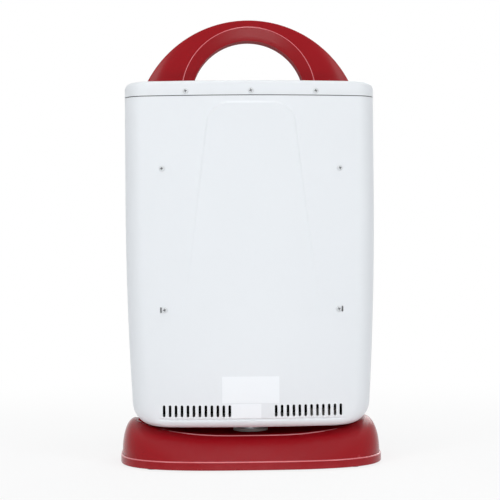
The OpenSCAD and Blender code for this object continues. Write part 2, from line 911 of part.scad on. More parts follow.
module pan_opening() {
    translate([0, 0, body_z - over])
        linear_extrude(frame_wall + 2 * over)
            underside(pan_ledge_w);
    countersink_r = shank_r + fit + frame_wall + over;
    for (p = pan_screw_at)
        translate([p[0], p[1], body_z - over])
            cylinder(h = frame_wall + over, r1 = countersink_r, r2 = shank_r + fit);
}

module bottom_pan() {
    color(steel)
    difference() {
        translate([0, 0, pan_z])
            linear_extrude(pan_t)
                underside(0.5);
        cylinder(h = body_top, r = gland_bore_r);
        for (a = [45:90:315])
            rotate(a)
                translate([pivot_screw_ring, 0, body_z])
                    cylinder(h = 10 * pan_t, r = shank_r + fit / 2);
        for (p = pan_screw_at)
            translate([p[0], p[1], body_z])
                cylinder(h = 10 * pan_t, r = shank_r + fit / 2);
    }
}

module bottom_pan_screws() {
    color(steel)
    for (p = pan_screw_at)
        translate([p[0], p[1], body_z + frame_wall])
            mirror([0, 0, 1])
                flat_screw(pan_screw_l, shank_r + frame_wall);
}

// Rear cover

panel_step = 1.6;

function panel_half_width(up) =
    let (share = (panel_top - up) / (panel_top - panel_foot), free = panel_top - up)
    panel_top_w / 2 + (panel_foot_w - panel_top_w) / 2 * share - round_in(panel_corner_r, free);

// One slice of the raised panel: its proud face follows the bow, and its sloping edge ends inside the skin
function panel_slice(half_w, proud) =
    let (steps = 8, bow_y = rear_y - rear_bow_r, back = half_w + panel_step)
    concat(
        [for (i = [0:steps])
            let (x = half_w - 2 * half_w * i / steps)
            [x, bow_y + sqrt(pow(rear_bow_r, 2) - x * x) + proud]],
        [for (x = [-back, back]) [x, bow_y + sqrt(pow(rear_bow_r, 2) - x * x) - 0.9 * cover_wall]]
    );

// The raised panel, proudest at its top edge and sinking into the skin at its foot
module raised_panel() {
    sunk = cover_wall / 2;
    ups = [for (a = [90:-18:0]) panel_top - panel_corner_r * (1 - cos(a))];
    loft(concat(
        [for (up = concat([panel_foot], ups))
            let (share = (up - panel_foot) / (panel_top - panel_foot))
            at_height(panel_slice(panel_half_width(up), (panel_h + sunk) * share - sunk), body_z + up)],
        [at_height(panel_slice(panel_half_width(panel_top), -sunk), body_z + panel_top + panel_step)]
    ));
}

module vent_slots() {
    for (side = [-1, 1], i = [0:vent_count - 1])
        on_rear(side * (vent_inner_x + vent_pitch * i), body_z + vent_up)
            translate([0, 0, -3 * cover_wall])
                rotate(90)
                    obround(vent_l, vent_w, 6 * cover_wall);
}

lower_slot_l = 13;
lower_slot_w = 6.6;
lower_slot_out = 2.4;

module rear_screw_places() {
    for (side = [-1, 1]) {
        on_rear(side * upper_screw_x, body_z + upper_screw_up)
            children();
        on_rear(side * lower_screw_x, body_z + lower_screw_up)
            children();
    }
}

module cap_screw_places() {
    for (x = [-cap_screw_x, 0, cap_screw_x])
        on_rear(x, seam_z + cap_screw_up)
            children();
}

tongue_in = cap_wall + 0.3;
tongue_h = 12;

module rear_cover() {
    color(white)
    difference() {
        union() {
            intersection() {
                body_form(0);
                between_z(body_z - over, seam_z - seam_gap / 2);
            }
            intersection() {
                upper_form(tongue_in);
                between_z(seam_z - 6, seam_z + tongue_h);
            }
            raised_panel();
        }
        intersection() {
            body_form(cover_wall);
            between_z(body_z + frame_wall, seam_z - 6);
        }
        intersection() {
            upper_form(tongue_in + cover_wall);
            between_z(seam_z - 7, body_top);
        }
        translate([0, -cover_wall, 0])
            raised_panel();
        before_y(split_y);
        pan_opening();
        vent_slots();
        rear_screw_places()
            cylinder(h = 20 * cover_wall, r = shank_r + fit, center = true);
        for (side = [-1, 1])
            on_rear(side * (lower_screw_x + lower_slot_out), body_z + lower_screw_up)
                translate([0, 0, -3 * cover_wall])
                    obround(lower_slot_l, lower_slot_w, 6 * cover_wall);
        cap_screw_places()
            cylinder(h = 20 * cover_wall, r = shank_r + fit, center = true);
        intersection() {
            translate([0, rear_y - rear_bow_r, body_z + crease_up])
                ring(rear_bow_r + 5, rear_bow_r - cover_wall / 2, 1.3);
            translate([-crease_l / 2, 0, body_z])
                cube([crease_l, body_d, 2 * crease_up]);
        }
    }
}

module rear_cover_screws() {
    color(steel)
    rear_screw_places()
        translate([0, 0, fit / 4])
            pan_screw(sheet_screw_l);
}

// Top cap and handle

module outlet_slots() {
    first = -(outlet_count - 1) / 2;
    for (y = [-1, 1], i = [0:outlet_count - 1])
        translate([(first + i) * outlet_pitch, y * (handle_t / 2 + 8 + outlet_l / 2), body_top - cap_h / 2])
            rotate(90)
                obround(outlet_l, vent_w, cap_h);
}

module handle_screw_places() {
    for (x = [-1, 1], y = [-1, 1])
        translate([x * handle_screw_x, y * handle_screw_y, body_top - cap_wall])
            children();
}

module top_cap() {
    color(white)
    difference() {
        intersection() {
            upper_form(0);
            between_z(seam_z + seam_gap / 2, body_top + over);
        }
        upper_form(cap_wall);
        outlet_slots();
        cap_screw_places()
            cylinder(h = 20 * cover_wall, r = shank_r + fit, center = true);
        handle_screw_places()
            cylinder(h = 20 * cover_wall, r = shank_r + fit, center = true);
    }
}

module top_cap_screws() {
    color(steel)
    cap_screw_places()
        translate([0, 0, fit / 4])
            pan_screw(sheet_screw_l);
}

// A disc across Y whose thickness tapers towards a rounded rim
module tapered_disc(r, inner_half, edge_half) {
    rotate([90, 0, 0])
        rotate_extrude($fn = 96) {
            polygon([
                [0, -inner_half], [r * 0.68, -inner_half], [r - edge_half, -edge_half],
                [r - edge_half, edge_half], [r * 0.68, inner_half], [0, inner_half]
            ]);
            translate([r - edge_half, 0])
                intersection() {
                    circle(edge_half);
                    translate([0, -edge_half])
                        square([edge_half, 2 * edge_half]);
                }
        }
}

// A disc across Y with rounded edges
module rounded_disc(r, half, edge) {
    rotate([90, 0, 0])
        rotate_extrude($fn = 96) {
            translate([0, -half])
                square([r - edge, 2 * half]);
            translate([0, edge - half])
                square([r, 2 * (half - edge)]);
            for (s = [-1, 1])
                translate([r - edge, s * (half - edge)])
                    circle(edge);
        }
}

module handle_opening() {
    translate([0, 0, handle_open_z])
        rotate([90, 0, 0])
            cylinder(h = 2 * handle_t, r = handle_open_r, center = true, $fn = 96);
}

// Cones that dish both faces of the band, from a narrow ridge at its outside down towards the opening
module band_dishes() {
    ridge_r = handle_band_r - band_round - 0.4;
    slope = band_dish / (handle_grip - band_round);
    depth = ridge_r * slope;
    for (turn = [-90, 90])
        translate([0, 0, handle_band_z])
            rotate([turn, 0, 0])
                translate([0, 0, handle_t / 2 - depth])
                    cylinder(h = depth + over, r1 = 0, r2 = ridge_r + over / slope, $fn = 96);
}

module handle_whole() {
    difference() {
        union() {
            translate([0, 0, handle_outer_z])
                tapered_disc(handle_outer_r, handle_side, handle_edge_r);
            intersection() {
                translate([0, 0, handle_band_z])
                    rounded_disc(handle_band_r, handle_t / 2, band_round);
                translate([0, 0, handle_outer_z])
                    rounded_disc(handle_outer_r - 2, handle_t / 2, band_round);
            }
        }
        handle_opening();
        band_dishes();
        between_z(0, body_top + fit / 4);
        handle_screw_places()
            cylinder(h = handle_screw_l + 2, r = shank_r + fit / 2);
    }
}

module handle_rear() {
    color(red)
    intersection() {
        handle_whole();
        behind_y(fit / 4);
    }
}

module handle_front() {
    color(red)
    intersection() {
        handle_whole();
        before_y(-fit / 4);
    }
}

module handle_screws() {
    color(steel)
    handle_screw_places()
        translate([0, 0, -fit / 4])
            mirror([0, 0, 1])
                pan_screw(handle_screw_l);
}

// Front

module window_outline(grow) {
    translate([0, window_z + window_h / 2])
        rounded_rect(window_w + 2 * grow, window_h + 2 * grow, window_r + grow);
}

module fascia_outline(grow) {
    translate([0, fascia_mid])
        rounded_rect(fascia_w + 2 * grow, fascia_h + 2 * grow, fascia_r + grow);
}

// Extrudes an outline drawn in X and Z backwards from a front plane
module from_front(y, depth) {
    translate([0, y + depth, 0])
        rotate([90, 0, 0])
            linear_extrude(depth)
                children();
}

hook_x = [for (i = [-1, 1]) i * 8 * (window_w - 2 * rim_r) / (wire_count + 1)];
hook_l = 5;

module front_frame() {
    color(white)
    difference() {
        union() {
            difference() {
                union() {
                    intersection() {
                        body_form(0);
                        between_z(body_z - over, seam_z - seam_gap / 2);
                        before_y(split_y - fit / 2);
                    }
                    intersection() {
                        body_form(cover_wall + fit);
                        between_z(body_z + bottom_corner_r + 6, seam_z - 8);
                        before_y(split_y + 8);
                        behind_y(split_y - 4);
                    }
                }
                body_form(frame_wall);
            }
            from_front(front_y + frame_wall / 2, window_depth - frame_wall / 2)
                window_outline(frame_wall);
            from_front(front_y + frame_wall / 2, frame_wall / 2 + fascia_t)
                fascia_outline(4);
            for (x = [-1, 1], z = lug_rows)
                on_front(x * lug_x, chassis_front - fit / 2, z)
                    cylinder(h = chassis_front - front_y - frame_wall / 2, r = 5);
        }
        from_front(front_y - over, window_depth + 2 * over)
            window_outline(0);
        from_front(front_y - over, fascia_back - front_y + over + fit / 4)
            fascia_outline(fit);
        from_front(front_y - over, window_depth)
            fascia_outline(-fascia_lip);
        for (x = [-1, 1], z = lug_rows)
            on_front(x * lug_x, chassis_front + over, z)
                cylinder(h = post_screw_l + 2, r = shank_r + fit / 2);
        for (x = hook_x, z = [window_z - frame_wall / 2, window_top + frame_wall / 2])
            translate([x, guard_y, z])
                cylinder(h = 3 * frame_wall, r = wire_r + fit, center = true);
        pan_opening();
    }
}

// A rod bent round a rounded rectangle in the X and Z plane
module bent_rim(w, h, corner, rod) {
    for (s = [-1, 1]) {
        translate([s * (w / 2 - rod), 0, 0])
            cylinder(h = h - 2 * corner, r = rod, center = true);
        translate([0, 0, s * (h / 2 - rod)])
            rotate([0, 90, 0])
                cylinder(h = w - 2 * corner, r = rod, center = true);
    }
    for (sx = [0, 1], sz = [0, 1])
        mirror([sx, 0, 0])
            mirror([0, 0, sz])
                translate([w / 2 - corner, 0, h / 2 - corner])
                    rotate([90, 0, 0])
                        rotate_extrude(angle = 90)
                            translate([corner - rod, 0])
                                circle(rod);
}

module wire_guard() {
    rim_w = window_w - 2 * move_gap;
    rim_h = window_h - 2 * move_gap;
    step = (window_w - 2 * rim_r) / (wire_count + 1);
    first = -(wire_count - 1) / 2;
    color(chrome)
    translate([0, guard_y, window_z + window_h / 2]) {
        bent_rim(rim_w, rim_h, window_r, rim_r);
        for (i = [0:wire_count - 1])
            translate([(first + i) * step, 0, 0])
                cylinder(h = rim_h - 2 * rim_r, r = wire_r, center = true);
        for (i = [1:cross_count])
            translate([0, 1.6 * wire_r, -rim_h / 2 + rim_h * i / (cross_count + 1)])
                rotate([0, 90, 0])
                    cylinder(h = rim_w - 2 * rim_r, r = wire_r, center = true);
        for (x = hook_x, s = [-1, 1])
            translate([x, 0, s * (rim_h / 2 - rim_r + hook_l / 2)])
                cylinder(h = hook_l, r = wire_r, center = true);
    }
}

// Right-hand chassis plate: a cheek beside the reflector, lugs in front, a rear flange with screw posts
module chassis_plate() {
    difference() {
        union() {
            translate([chassis_x - chassis_t, chassis_front, chassis_z])
                cube([chassis_t, chassis_rear - chassis_front, chassis_top - chassis_z]);
            for (z = lug_rows)
                translate([chassis_x - chassis_t, chassis_front, z - lug_w / 2])
                    cube([lug_x + 8 - chassis_x, chassis_t, lug_w]);
            translate([upper_screw_x - 10, chassis_rear - chassis_t, chassis_z])
                cube([chassis_x - upper_screw_x + 10, chassis_t, chassis_top - chassis_z]);
            intersection() {
                rear_screw_places()
                    translate([0, 0, -rear_y + chassis_rear])
                        cylinder(h = rear_y - chassis_rear - cover_wall - fit, r = head_r + 0.4);
                behind_y(chassis_rear - chassis_t);
                cube([body_w, body_d, 2 * body_h]);
            }
        }
        for (z = tube_rows)
            translate([chassis_x, -tube_y, z])
                rotate([0, 90, 0])
                    cylinder(h = 4 * chassis_t, r = cap_spigot_r + fit / 2, center = true);
        for (z = lug_rows)
            on_front(lug_x, chassis_front + 5 * chassis_t, z)
                cylinder(h = 10 * chassis_t, r = shank_r + fit / 2);
        rear_screw_places()
            cylinder(h = body_d, r = shank_r + fit / 2, center = true);
    }
}

module chassis_right() {
    color(steel)
        chassis_plate();
}

module chassis_left() {
    color(steel)
        mirror([1, 0, 0])
            chassis_plate();
}

module chassis_screws() {
    color(steel)
    for (x = [-1, 1], z = lug_rows)
        translate([x * lug_x, chassis_front + chassis_t + fit / 4, z])
            rotate([-90, 0, 0])
                pan_screw(chassis_t + post_screw_l);
}

// Heating

trough_half = (tube_pitch - trough_land) / 2;
trough_r = (trough_half * trough_half + trough_depth * trough_depth) / (2 * trough_depth);

// Section of the reflector sheet in Y and Z: a trough behind each tube, joined by flat lands
module reflector_section() {
    land_y = -reflector_y;
    edge = (window_h - 3 * tube_pitch) / 2 - 8;
    difference() {
        union() {
            translate([land_y, tube_rows[0] - tube_pitch / 2 - edge])
                square([reflector_t, 3 * tube_pitch + 2 * edge]);
            for (z = tube_rows)
                intersection() {
                    translate([land_y + trough_depth - trough_r, z])
                        circle(trough_r + reflector_t);
                    translate([land_y, z - tube_pitch / 2])
                        square([2 * trough_r, tube_pitch]);
                }
        }
        for (z = tube_rows)
            translate([land_y + trough_depth - trough_r, z])
                circle(trough_r);
    }
}

module reflector() {
    half = chassis_x - chassis_t - fit;
    color(chrome)
    translate([-half, 0, 0])
        rotate([90, 0, 90])
            linear_extrude(2 * half)
                reflector_section();
}

module heat_shield() {
    half = chassis_x - chassis_t - fit;
    low = chassis_z + shield_in;
    tall = chassis_top - chassis_z - 2 * shield_in;
    color(steel)
    difference() {
        union() {
            translate([-half, shield_y, low])
                cube([2 * half, shield_t, tall]);
            for (s = [-1, 1])
                translate([s * (half - shield_t / 2) - shield_t / 2, shield_y - shield_flange, low])
                    cube([shield_t, shield_flange + shield_t, tall]);
        }
        for (z = tube_rows, i = [-4:4])
            on_front(i * shield_slot_pitch, shield_y + 2 * shield_t, z)
                obround(shield_slot_l, shield_slot_w, 4 * shield_t);
    }
}

module quartz_tube(row) {
    half = chassis_x + ceramic_l / 2;
    color(ceramic)
    translate([-half, -tube_y, tube_rows[row]])
        rotate([0, 90, 0])
            ring(tube_r, tube_r - tube_wall, 2 * half);
}

module quartz_tube_lower() {
    quartz_tube(0);
}

module quartz_tube_middle() {
    quartz_tube(1);
}

module quartz_tube_upper() {
    quartz_tube(2);
}

coil_half = chassis_x + ceramic_l * 0.8;

module heating_coils() {
    color(grey)
    for (z = tube_rows)
        translate([-coil_half, -tube_y, z])
            rotate([0, 90, 0])
                cylinder(h = 2 * coil_half, r = coil_r);
}

// Ceramic end caps on the right-hand side: a spigot through the chassis plate, a shoulder and a tapered tail
module ceramic_caps() {
    spigot_l = 5;
    socket_l = chassis_t + spigot_l + over + ceramic_l / 2 + fit;
    for (z = tube_rows)
        translate([chassis_x, -tube_y, z])
            rotate([0, 90, 0])
                difference() {
                    union() {
                        translate([0, 0, fit / 2])
                            cylinder(h = ceramic_l * 0.6, r = ceramic_r);
                        translate([0, 0, ceramic_l * 0.6])
                            cylinder(h = ceramic_l * 0.4, r1 = ceramic_r, r2 = ceramic_r * 0.7);
                        translate([0, 0, -chassis_t - spigot_l])
                            cylinder(h = chassis_t + spigot_l + over, r = cap_spigot_r);
                    }
                    translate([0, 0, -chassis_t - spigot_l - over])
                        cylinder(h = socket_l, r = tube_r + fit / 2);
                    cylinder(h = ceramic_l * 0.8 + fit, r = coil_r + fit);
                }
}

module ceramic_caps_right() {
    color(ceramic)
        ceramic_caps();
}

module ceramic_caps_left() {
    color(ceramic)
        mirror([1, 0, 0])
            ceramic_caps();
}

module thermal_cutout() {
    color(black)
    translate([0, shield_y + shield_t + fit / 4, tube_rows[2] + tube_pitch / 4])
        rotate([-90, 0, 0]) {
            obround(34, 14, 1.2);
            cylinder(h = 9, r = 8);
            for (x = [-1, 1])
                translate([x * 4 - 0.4, -3, 8])
                    cube([0.8, 6, 9]);
        }
}

// Controls

module control_panel() {
    color([0.8, 0.81, 0.82])
    difference() {
        from_front(fascia_front, fascia_t)
            fascia_outline(0);
        for (x = [-knob_x, knob_x])
            on_front(x, fascia_back + over, fascia_mid)
                cylinder(h = fascia_t + 2 * over, r = bush_r + fit / 2);
        on_front(0, fascia_back + over, button_z)
            cylinder(h = fascia_t + 2 * over, r = button_r + move_gap);
        on_front(0, fascia_back + over, lamp_z)
            cylinder(h = fascia_t + 2 * over, r = lamp_r + fit / 2);
    }
}

// A panel-mounted control behind the panel: a case and a threaded bush that comes through it
module panel_control(x, w, h, depth) {
    difference() {
        union() {
            translate([x - w / 2, fascia_back + fit / 4, fascia_mid - h / 2])
                cube([w, depth, h]);
            on_front(x, fascia_back + over, fascia_mid)
                cylinder(h = fascia_t + over + knob_gap / 2, r = bush_r);
        }
        on_front(x, fascia_back + depth * 0.7, fascia_mid)
            cylinder(h = depth + fascia_t + 10, r = shaft_r + run_fit);
    }
}

module control_shaft(x, depth) {
    on_front(x, fascia_back + depth * 0.7 - move_gap, fascia_mid)
        cylinder(h = fascia_back + depth * 0.7 - move_gap - knob_front - 4, r = shaft_r);
}

// A round knob with a skirt and a raised grip bar across it, whose pointer is notched
module knob(x) {
    skirt_h = 4;
    on_front(x, fascia_front - knob_gap, fascia_mid)
    difference() {
        union() {
            rotate_extrude($fn = 72)
                polygon([
                    [0, 0], [knob_r, 0], [knob_r, skirt_h * 0.6], [knob_r - 1.5, skirt_h],
                    [knob_r - 4, skirt_h + 0.6], [knob_r - 5.5, knob_d * 0.62], [0, knob_d * 0.62]
                ]);
            intersection() {
                cylinder(h = knob_d, r = knob_r - 3);
                translate([0, 0, skirt_h])
                    rotate(90)
                        obround(2 * knob_r - 4, 9, knob_d - skirt_h);
            }
        }
        translate([-0.8, knob_r - 9, knob_d - 0.8])
            cube([1.6, 7, 2]);
        translate([0, 0, -over])
            cylinder(h = knob_d - 4 + over + fit, r = shaft_r + fit / 4);
    }
}

switch_w = 32;
switch_depth = 22;
timer_w = 46;
timer_depth = 30;

module power_switch() {
    color(black)
        panel_control(-knob_x, switch_w, switch_w, switch_depth);
}

module power_shaft() {
    color(steel)
        control_shaft(-knob_x, switch_depth);
}

module power_knob() {
    color(red)
        knob(-knob_x);
}

module timer_unit() {
    color(grey)
        panel_control(knob_x, timer_w, timer_w, timer_depth);
}

module timer_shaft() {
    color(steel)
        control_shaft(knob_x, timer_depth);
}

module timer_knob() {
    color(red)
        knob(knob_x);
}

button_stem_r = 2.5;
button_case = 20;

module swing_switch() {
    color(black)
    difference() {
        translate([-button_case / 2, fascia_back + fit / 4, button_z - button_case / 2])
            cube([button_case, 22, button_case]);
        on_front(0, fascia_back + button_travel + 4, button_z)
            cylinder(h = 20, r = button_r + move_gap);
        on_front(0, fascia_back + 18, button_z)
            cylinder(h = 20, r = button_stem_r + run_fit);
    }
}

module swing_button() {
    color(red)
    on_front(0, fascia_back + 3, button_z) {
        cylinder(h = fascia_t + 3 + button_proud - 1, r = button_r);
        translate([0, 0, fascia_t + 3 + button_proud - 1])
            cylinder(h = 1, r1 = button_r, r2 = button_r - 1);
        translate([0, 0, -10])
            cylinder(h = 10 + over, r = button_stem_r);
    }
}

module pilot_lamp() {
    color([0.9, 0.45, 0.15])
    on_front(0, fascia_back + 16, lamp_z) {
        cylinder(h = 16 + fascia_t + 0.6, r = lamp_r);
        translate([0, 0, 16 + fascia_t + 0.6])
            cylinder(h = 1, r1 = lamp_r, r2 = lamp_r * 0.6);
        cylinder(h = 16 - fit / 4, r = lamp_r + 1.5);
    }
}

terminal_ways = 4;
terminal_pitch = 9;

module terminal_block() {
    color(ceramic)
    translate([23.5 - pan_screw_x, rear_y / 4, pan_top + fit / 4])
    difference() {
        translate([-terminal_ways * terminal_pitch / 2, -10, 0])
            cube([terminal_ways * terminal_pitch, 20, 13]);
        for (i = [0:terminal_ways - 1], y = [-5, 5])
            translate([(i - (terminal_ways - 1) / 2) * terminal_pitch, y, 4])
                cylinder(h = 12, r = 2.4);
    }
}

base_cover();
base_plate();
rubber_feet();
base_plate_screws();
cord_gland();
tip_plunger();
tip_switch();
swivel_bush();
pivot_tube();
pivot_screws();
swing_gear();
swivel_clip();
swing_pinion();
swing_motor();
swing_motor_screws();
bottom_pan();
bottom_pan_screws();
rear_cover();
rear_cover_screws();
top_cap();
top_cap_screws();
handle_rear();
handle_front();
handle_screws();
front_frame();
wire_guard();
chassis_left();
chassis_right();
chassis_screws();
reflector();
heat_shield();
quartz_tube_lower();
quartz_tube_middle();
quartz_tube_upper();
heating_coils();
ceramic_caps_left();
ceramic_caps_right();
thermal_cutout();
control_panel();
power_switch();
power_shaft();
power_knob();
timer_unit();
timer_shaft();
timer_knob();
swing_switch();
swing_button();
pilot_lamp();
terminal_block();
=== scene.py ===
import math

import bmesh
import bpy
from bpy.props import FloatProperty, FloatVectorProperty, IntProperty, PointerProperty
from mathutils import Matrix, Quaternion, Vector


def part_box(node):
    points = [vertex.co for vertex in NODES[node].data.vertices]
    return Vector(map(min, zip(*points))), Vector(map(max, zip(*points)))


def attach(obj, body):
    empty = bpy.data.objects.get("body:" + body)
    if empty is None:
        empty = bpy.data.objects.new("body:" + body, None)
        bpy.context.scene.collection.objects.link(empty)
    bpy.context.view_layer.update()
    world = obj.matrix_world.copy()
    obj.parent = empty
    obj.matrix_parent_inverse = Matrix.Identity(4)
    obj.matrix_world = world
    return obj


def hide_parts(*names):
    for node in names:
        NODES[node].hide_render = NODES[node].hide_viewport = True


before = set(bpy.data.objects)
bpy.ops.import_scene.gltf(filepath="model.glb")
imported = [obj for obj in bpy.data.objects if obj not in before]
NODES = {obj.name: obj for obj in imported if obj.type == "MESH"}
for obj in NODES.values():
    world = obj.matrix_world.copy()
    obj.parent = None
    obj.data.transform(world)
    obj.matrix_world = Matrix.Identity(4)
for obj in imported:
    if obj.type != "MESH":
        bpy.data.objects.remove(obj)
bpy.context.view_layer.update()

bl_info = {
    "name": "Electric Room Heater",
    "version": (1, 0, 0),
    "blender": (4, 5, 0),
    "location": "3D View > Sidebar > Heater",
    "description": "Dresses the packed heater with smooth shells, finishes, a stage and a camera",
    "category": "Object",
}

MM = 0.001

# Levels and faces of the body, read from the frame
CAP_LOW, CAP_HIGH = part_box("top_cap")
BODY_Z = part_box("rear_cover")[0].z
BODY_TOP = CAP_HIGH.z
BODY_H = BODY_TOP - BODY_Z
BODY_HALF_W = CAP_HIGH.x
REAR_Y = CAP_HIGH.y
FRONT_Y = CAP_LOW.y
SPLIT_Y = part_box("rear_cover")[0].y
SEAM_LOW = CAP_LOW.z - 1 * MM
BASE_LOW, BASE_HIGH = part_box("base_cover")

# Width of the flange that the body's shells turn inwards at the bottom, and how far a cut reaches past a face
FLANGE = 9 * MM
CUT_REACH = 4 * MM

# Angle in degrees above which an edge stays crisp
CRISP = 28


def srgb(red, green, blue):
    """A colour written in 8-bit sRGB, as linear light."""
    def linear(value):
        value /= 255
        return value / 12.92 if value <= 0.04045 else ((value + 0.055) / 1.055) ** 2.4
    return (linear(red), linear(green), linear(blue))


def length(name, description, millimetres):
    return FloatProperty(
        name=name, description=description, default=millimetres * MM, unit="LENGTH", precision=5
    )


def colour(name, description, default):
    return FloatVectorProperty(
        name=name, description=description, default=default, size=3, min=0, max=1, subtype="COLOR"
    )


class HeaterSizes(bpy.types.PropertyGroup):
    """Shapes of the heater's shells."""

    side_draw: length("Side draw", "How far each side draws in towards the bottom", 9.5)
    draw_start: length("Draw start", "Height above the body's bottom where the sides start to draw in", 280)
    rear_bow: length("Rear bow", "Radius of the bow of the rear face", 720)
    rear_corner: length("Rear corner", "Radius of the upright rear corners", 29)
    front_corner: length("Front corner", "Radius of the upright front corners", 20)
    bottom_corner: length("Bottom corner", "Radius of the bottom corners, seen from behind", 28)
    bottom_rear: length("Bottom rear edge", "Radius of the bottom's rear edge", 8)
    bottom_front: length("Bottom front edge", "Radius of the bottom's front edge", 16)
    top_corner: length("Top corner", "Radius of the top corners, seen from behind", 9)
    top_edge: length("Top edge", "Radius of the top's front and rear edges", 4)
    panel_top: length("Panel top", "Height of the raised panel's top edge above the body's bottom", 404.5)
    panel_foot: length("Panel foot", "Height at which the raised panel runs out", 128)
    panel_top_w: length("Panel top width", "Width of the raised panel at its top", 104)
    panel_foot_w: length("Panel foot width", "Width of the raised panel at its foot", 172)
    panel_h: length("Panel height", "How far the raised panel stands out at its top", 1.8)
    panel_corner: length("Panel corner", "Radius of the raised panel's top corners", 24)
    panel_slope: length("Panel slope", "Width of the slope round the raised panel", 3.4)
    vent_count: IntProperty(name="Vents", description="Intake slots in each row", default=12, min=1)
    vent_pitch: length("Vent pitch", "Spacing of the intake slots", 7.4)
    vent_inner: length("Vent inner", "Distance of the innermost slots from the middle", 28.8)
    vent_up: length("Vent height", "Height of the slots' middle above the body's bottom", 20.8)
    vent_l: length("Vent length", "Length of the intake slots", 14.6)
    vent_w: length("Vent width", "Width of the intake slots", 3.3)
    outlet_count: IntProperty(name="Outlets", description="Outlet slots in each row", default=15, min=1)
    outlet_pitch: length("Outlet pitch", "Spacing of the outlet slots", 13)
    outlet_out: length("Outlet place", "Distance of both rows of outlet slots from the middle", 38)
    outlet_l: length("Outlet length", "Length of the outlet slots", 24)
    outlet_w: length("Outlet width", "Width of the outlet slots", 3)
    upper_screw_x: length("Upper screw place", "Distance of the upper rear screws from the middle", 111)
    upper_screw_up: length(
        "Upper screw height", "Height of the upper rear screws above the body's bottom", 322.5
    )
    lower_screw_x: length("Lower screw place", "Distance of the lower rear screws from the middle", 108.5)
    lower_screw_up: length(
        "Lower screw height", "Height of the lower rear screws above the body's bottom", 146.5
    )
    key_slot_out: length("Key slot place", "Distance of each key slot from its lower screw", 4.7)
    key_slot_l: length("Key slot length", "Length of the key slots", 7.2)
    key_slot_w: length("Key slot width", "Width of the key slots", 2.1)
    cap_screw_x: length("Cap screw place", "Distance of the outer cap screws from the middle", 81)
    cap_screw_up: length("Cap screw height", "Height of the cap screws above the seam", 5)
    head_r: length("Screw head", "Radius of the pan screws' heads", 3.7)
    head_h: length("Screw head height", "Height of the pan screws' heads", 2.1)
    window_h: length("Window height", "Height of the radiant window", 282)
    window_up: length("Window place", "Height of the window's lower edge above the body's bottom", 108)
    crease_up: length("Crease height", "Height of the creased line above the body's bottom", 9.2)
    crease_l: length("Crease length", "Length of the creased line", 232)
    crease_w: length("Crease width", "Width of the creased line", 1.7)
    crease_depth: length("Crease depth", "Depth of the creased line", 1.1)
    lip_top: length("Lip top", "Height of the lip's upper edge above the floor", 12.2)
    lip_step: length("Lip step", "Step in from the lip to the foot of the dome", 2)
    lip_round: length("Lip rounding", "Rounding of the lip's upper edge", 1.8)
    deck_w: length("Deck width", "Width of the deck on top of the base", 300)
    deck_d: length("Deck depth", "Depth of the deck on top of the base", 122)
    deck_z: length("Deck height", "Height of the deck at the swivel", 37)
    deck_rise: length("Deck rise", "How far the deck's ends rise above its middle", 17.5)
    deck_flat: length("Deck flat", "Half width of the deck's flat middle", 24)
    deck_crease: length("Deck crease", "Width of the rounding along the deck's edge", 2.4)
    deck_bead: length("Deck bead", "Height of the fine bead along the deck's edge", 1)
    bead_end: length("Bead end", "Distance from the middle at which the fine bead has run out", 118)
    arch_r: length("Arch radius", "Radius of the handle's outer arch", 147)
    ridge_r: length("Ridge radius", "Radius of the ridge round the handle's band", 85.6)
    opening_r: length("Opening radius", "Radius of the handle's opening", 73)
    crown: length("Crown", "Depth of the handle's shoulder above the ridge, at its top", 9)
    grip: length("Grip", "Depth of the handle's band at its top", 17)
    band_dish: length("Band dish", "How far the band is dished towards the opening", 4.5)
    band_step: length("Band step", "How far the ridge stands proud of the shoulders", 1)
    shoulder_drop: length(
        "Shoulder drop", "How far the shoulders roll off towards the rim, at their feet", 8
    )
    rim_round: length("Rim rounding", "Rounding of the handle's outer rim", 2.5)


class HeaterColours(bpy.types.PropertyGroup):
    """Colours of the heater's finishes."""

    enamel: colour("Enamel", "White stove enamel of the case", srgb(236, 240, 244))
    moulding: colour("White moulding", "White plastic of the front", srgb(233, 236, 238))
    red: colour("Red moulding", "Dark red plastic of base, handle and knobs", srgb(151, 9, 21))
    # Painted highlight along the lip's rounding and the handle's ridge
    red_highlight: colour("Red edge", "Painted highlight along the red plastic's edges", srgb(216, 104, 112))
    # Painted highlight on the bead along the deck's edge
    red_bead_highlight: colour("Red bead", "Painted highlight on the bead along the deck's edge", srgb(240, 150, 156))
    # Lighter than the moulding's red, as painted light in the shaded gap under the body
    deck: colour("Deck", "Matt red of the deck under the body, lightened as painted light", srgb(172, 14, 27))
    screw: colour("Painted screw", "Paint on the case's screws", srgb(224, 227, 230))
    recess: colour("Screw recess", "Shaded cross recess of the case's screws", srgb(104, 106, 110))
    ink: colour("Dial ink", "Dark grey ink of the dial marks", srgb(58, 60, 64))
    panel: colour("Control panel", "Light grey plastic of the control panel", srgb(190, 193, 196))
    foil: colour("Blank plate", "Bare foil of the two blank plates", srgb(247, 251, 255))
    pale: colour("Pale moulding", "Pale grey plastic of bush and gears", srgb(186, 180, 176))
    dark: colour("Dark moulding", "Black plastic and rubber", srgb(32, 32, 34))
    zinc: colour("Zinc", "Zinc-plated steel sheet", srgb(178, 180, 184))
    floor: colour("Floor", "Pale floor", srgb(246, 247, 248))


def sizes():
    return bpy.context.scene.heater_sizes


def colours():
    return bpy.context.scene.heater_colours


# Meshes


def grid_faces(rows, columns, closed):
    """Quads between rows of points, facing out where the rows rise and the columns run anticlockwise."""
    last = columns if closed else columns - 1
    faces = []
    for j in range(rows - 1):
        for i in range(last):
            a, b = j * columns + i, j * columns + (i + 1) % columns
            faces.append((a, b, b + columns, a + columns))
    return faces


def ring_faces(rows, columns):
    """Quads round a closed section that is carried round a closed outline."""
    faces = []
    for j in range(rows):
        k = (j + 1) % rows
        for i in range(columns):
            n = (i + 1) % columns
            faces.append((j * columns + i, j * columns + n, k * columns + n, k * columns + i))
    return faces


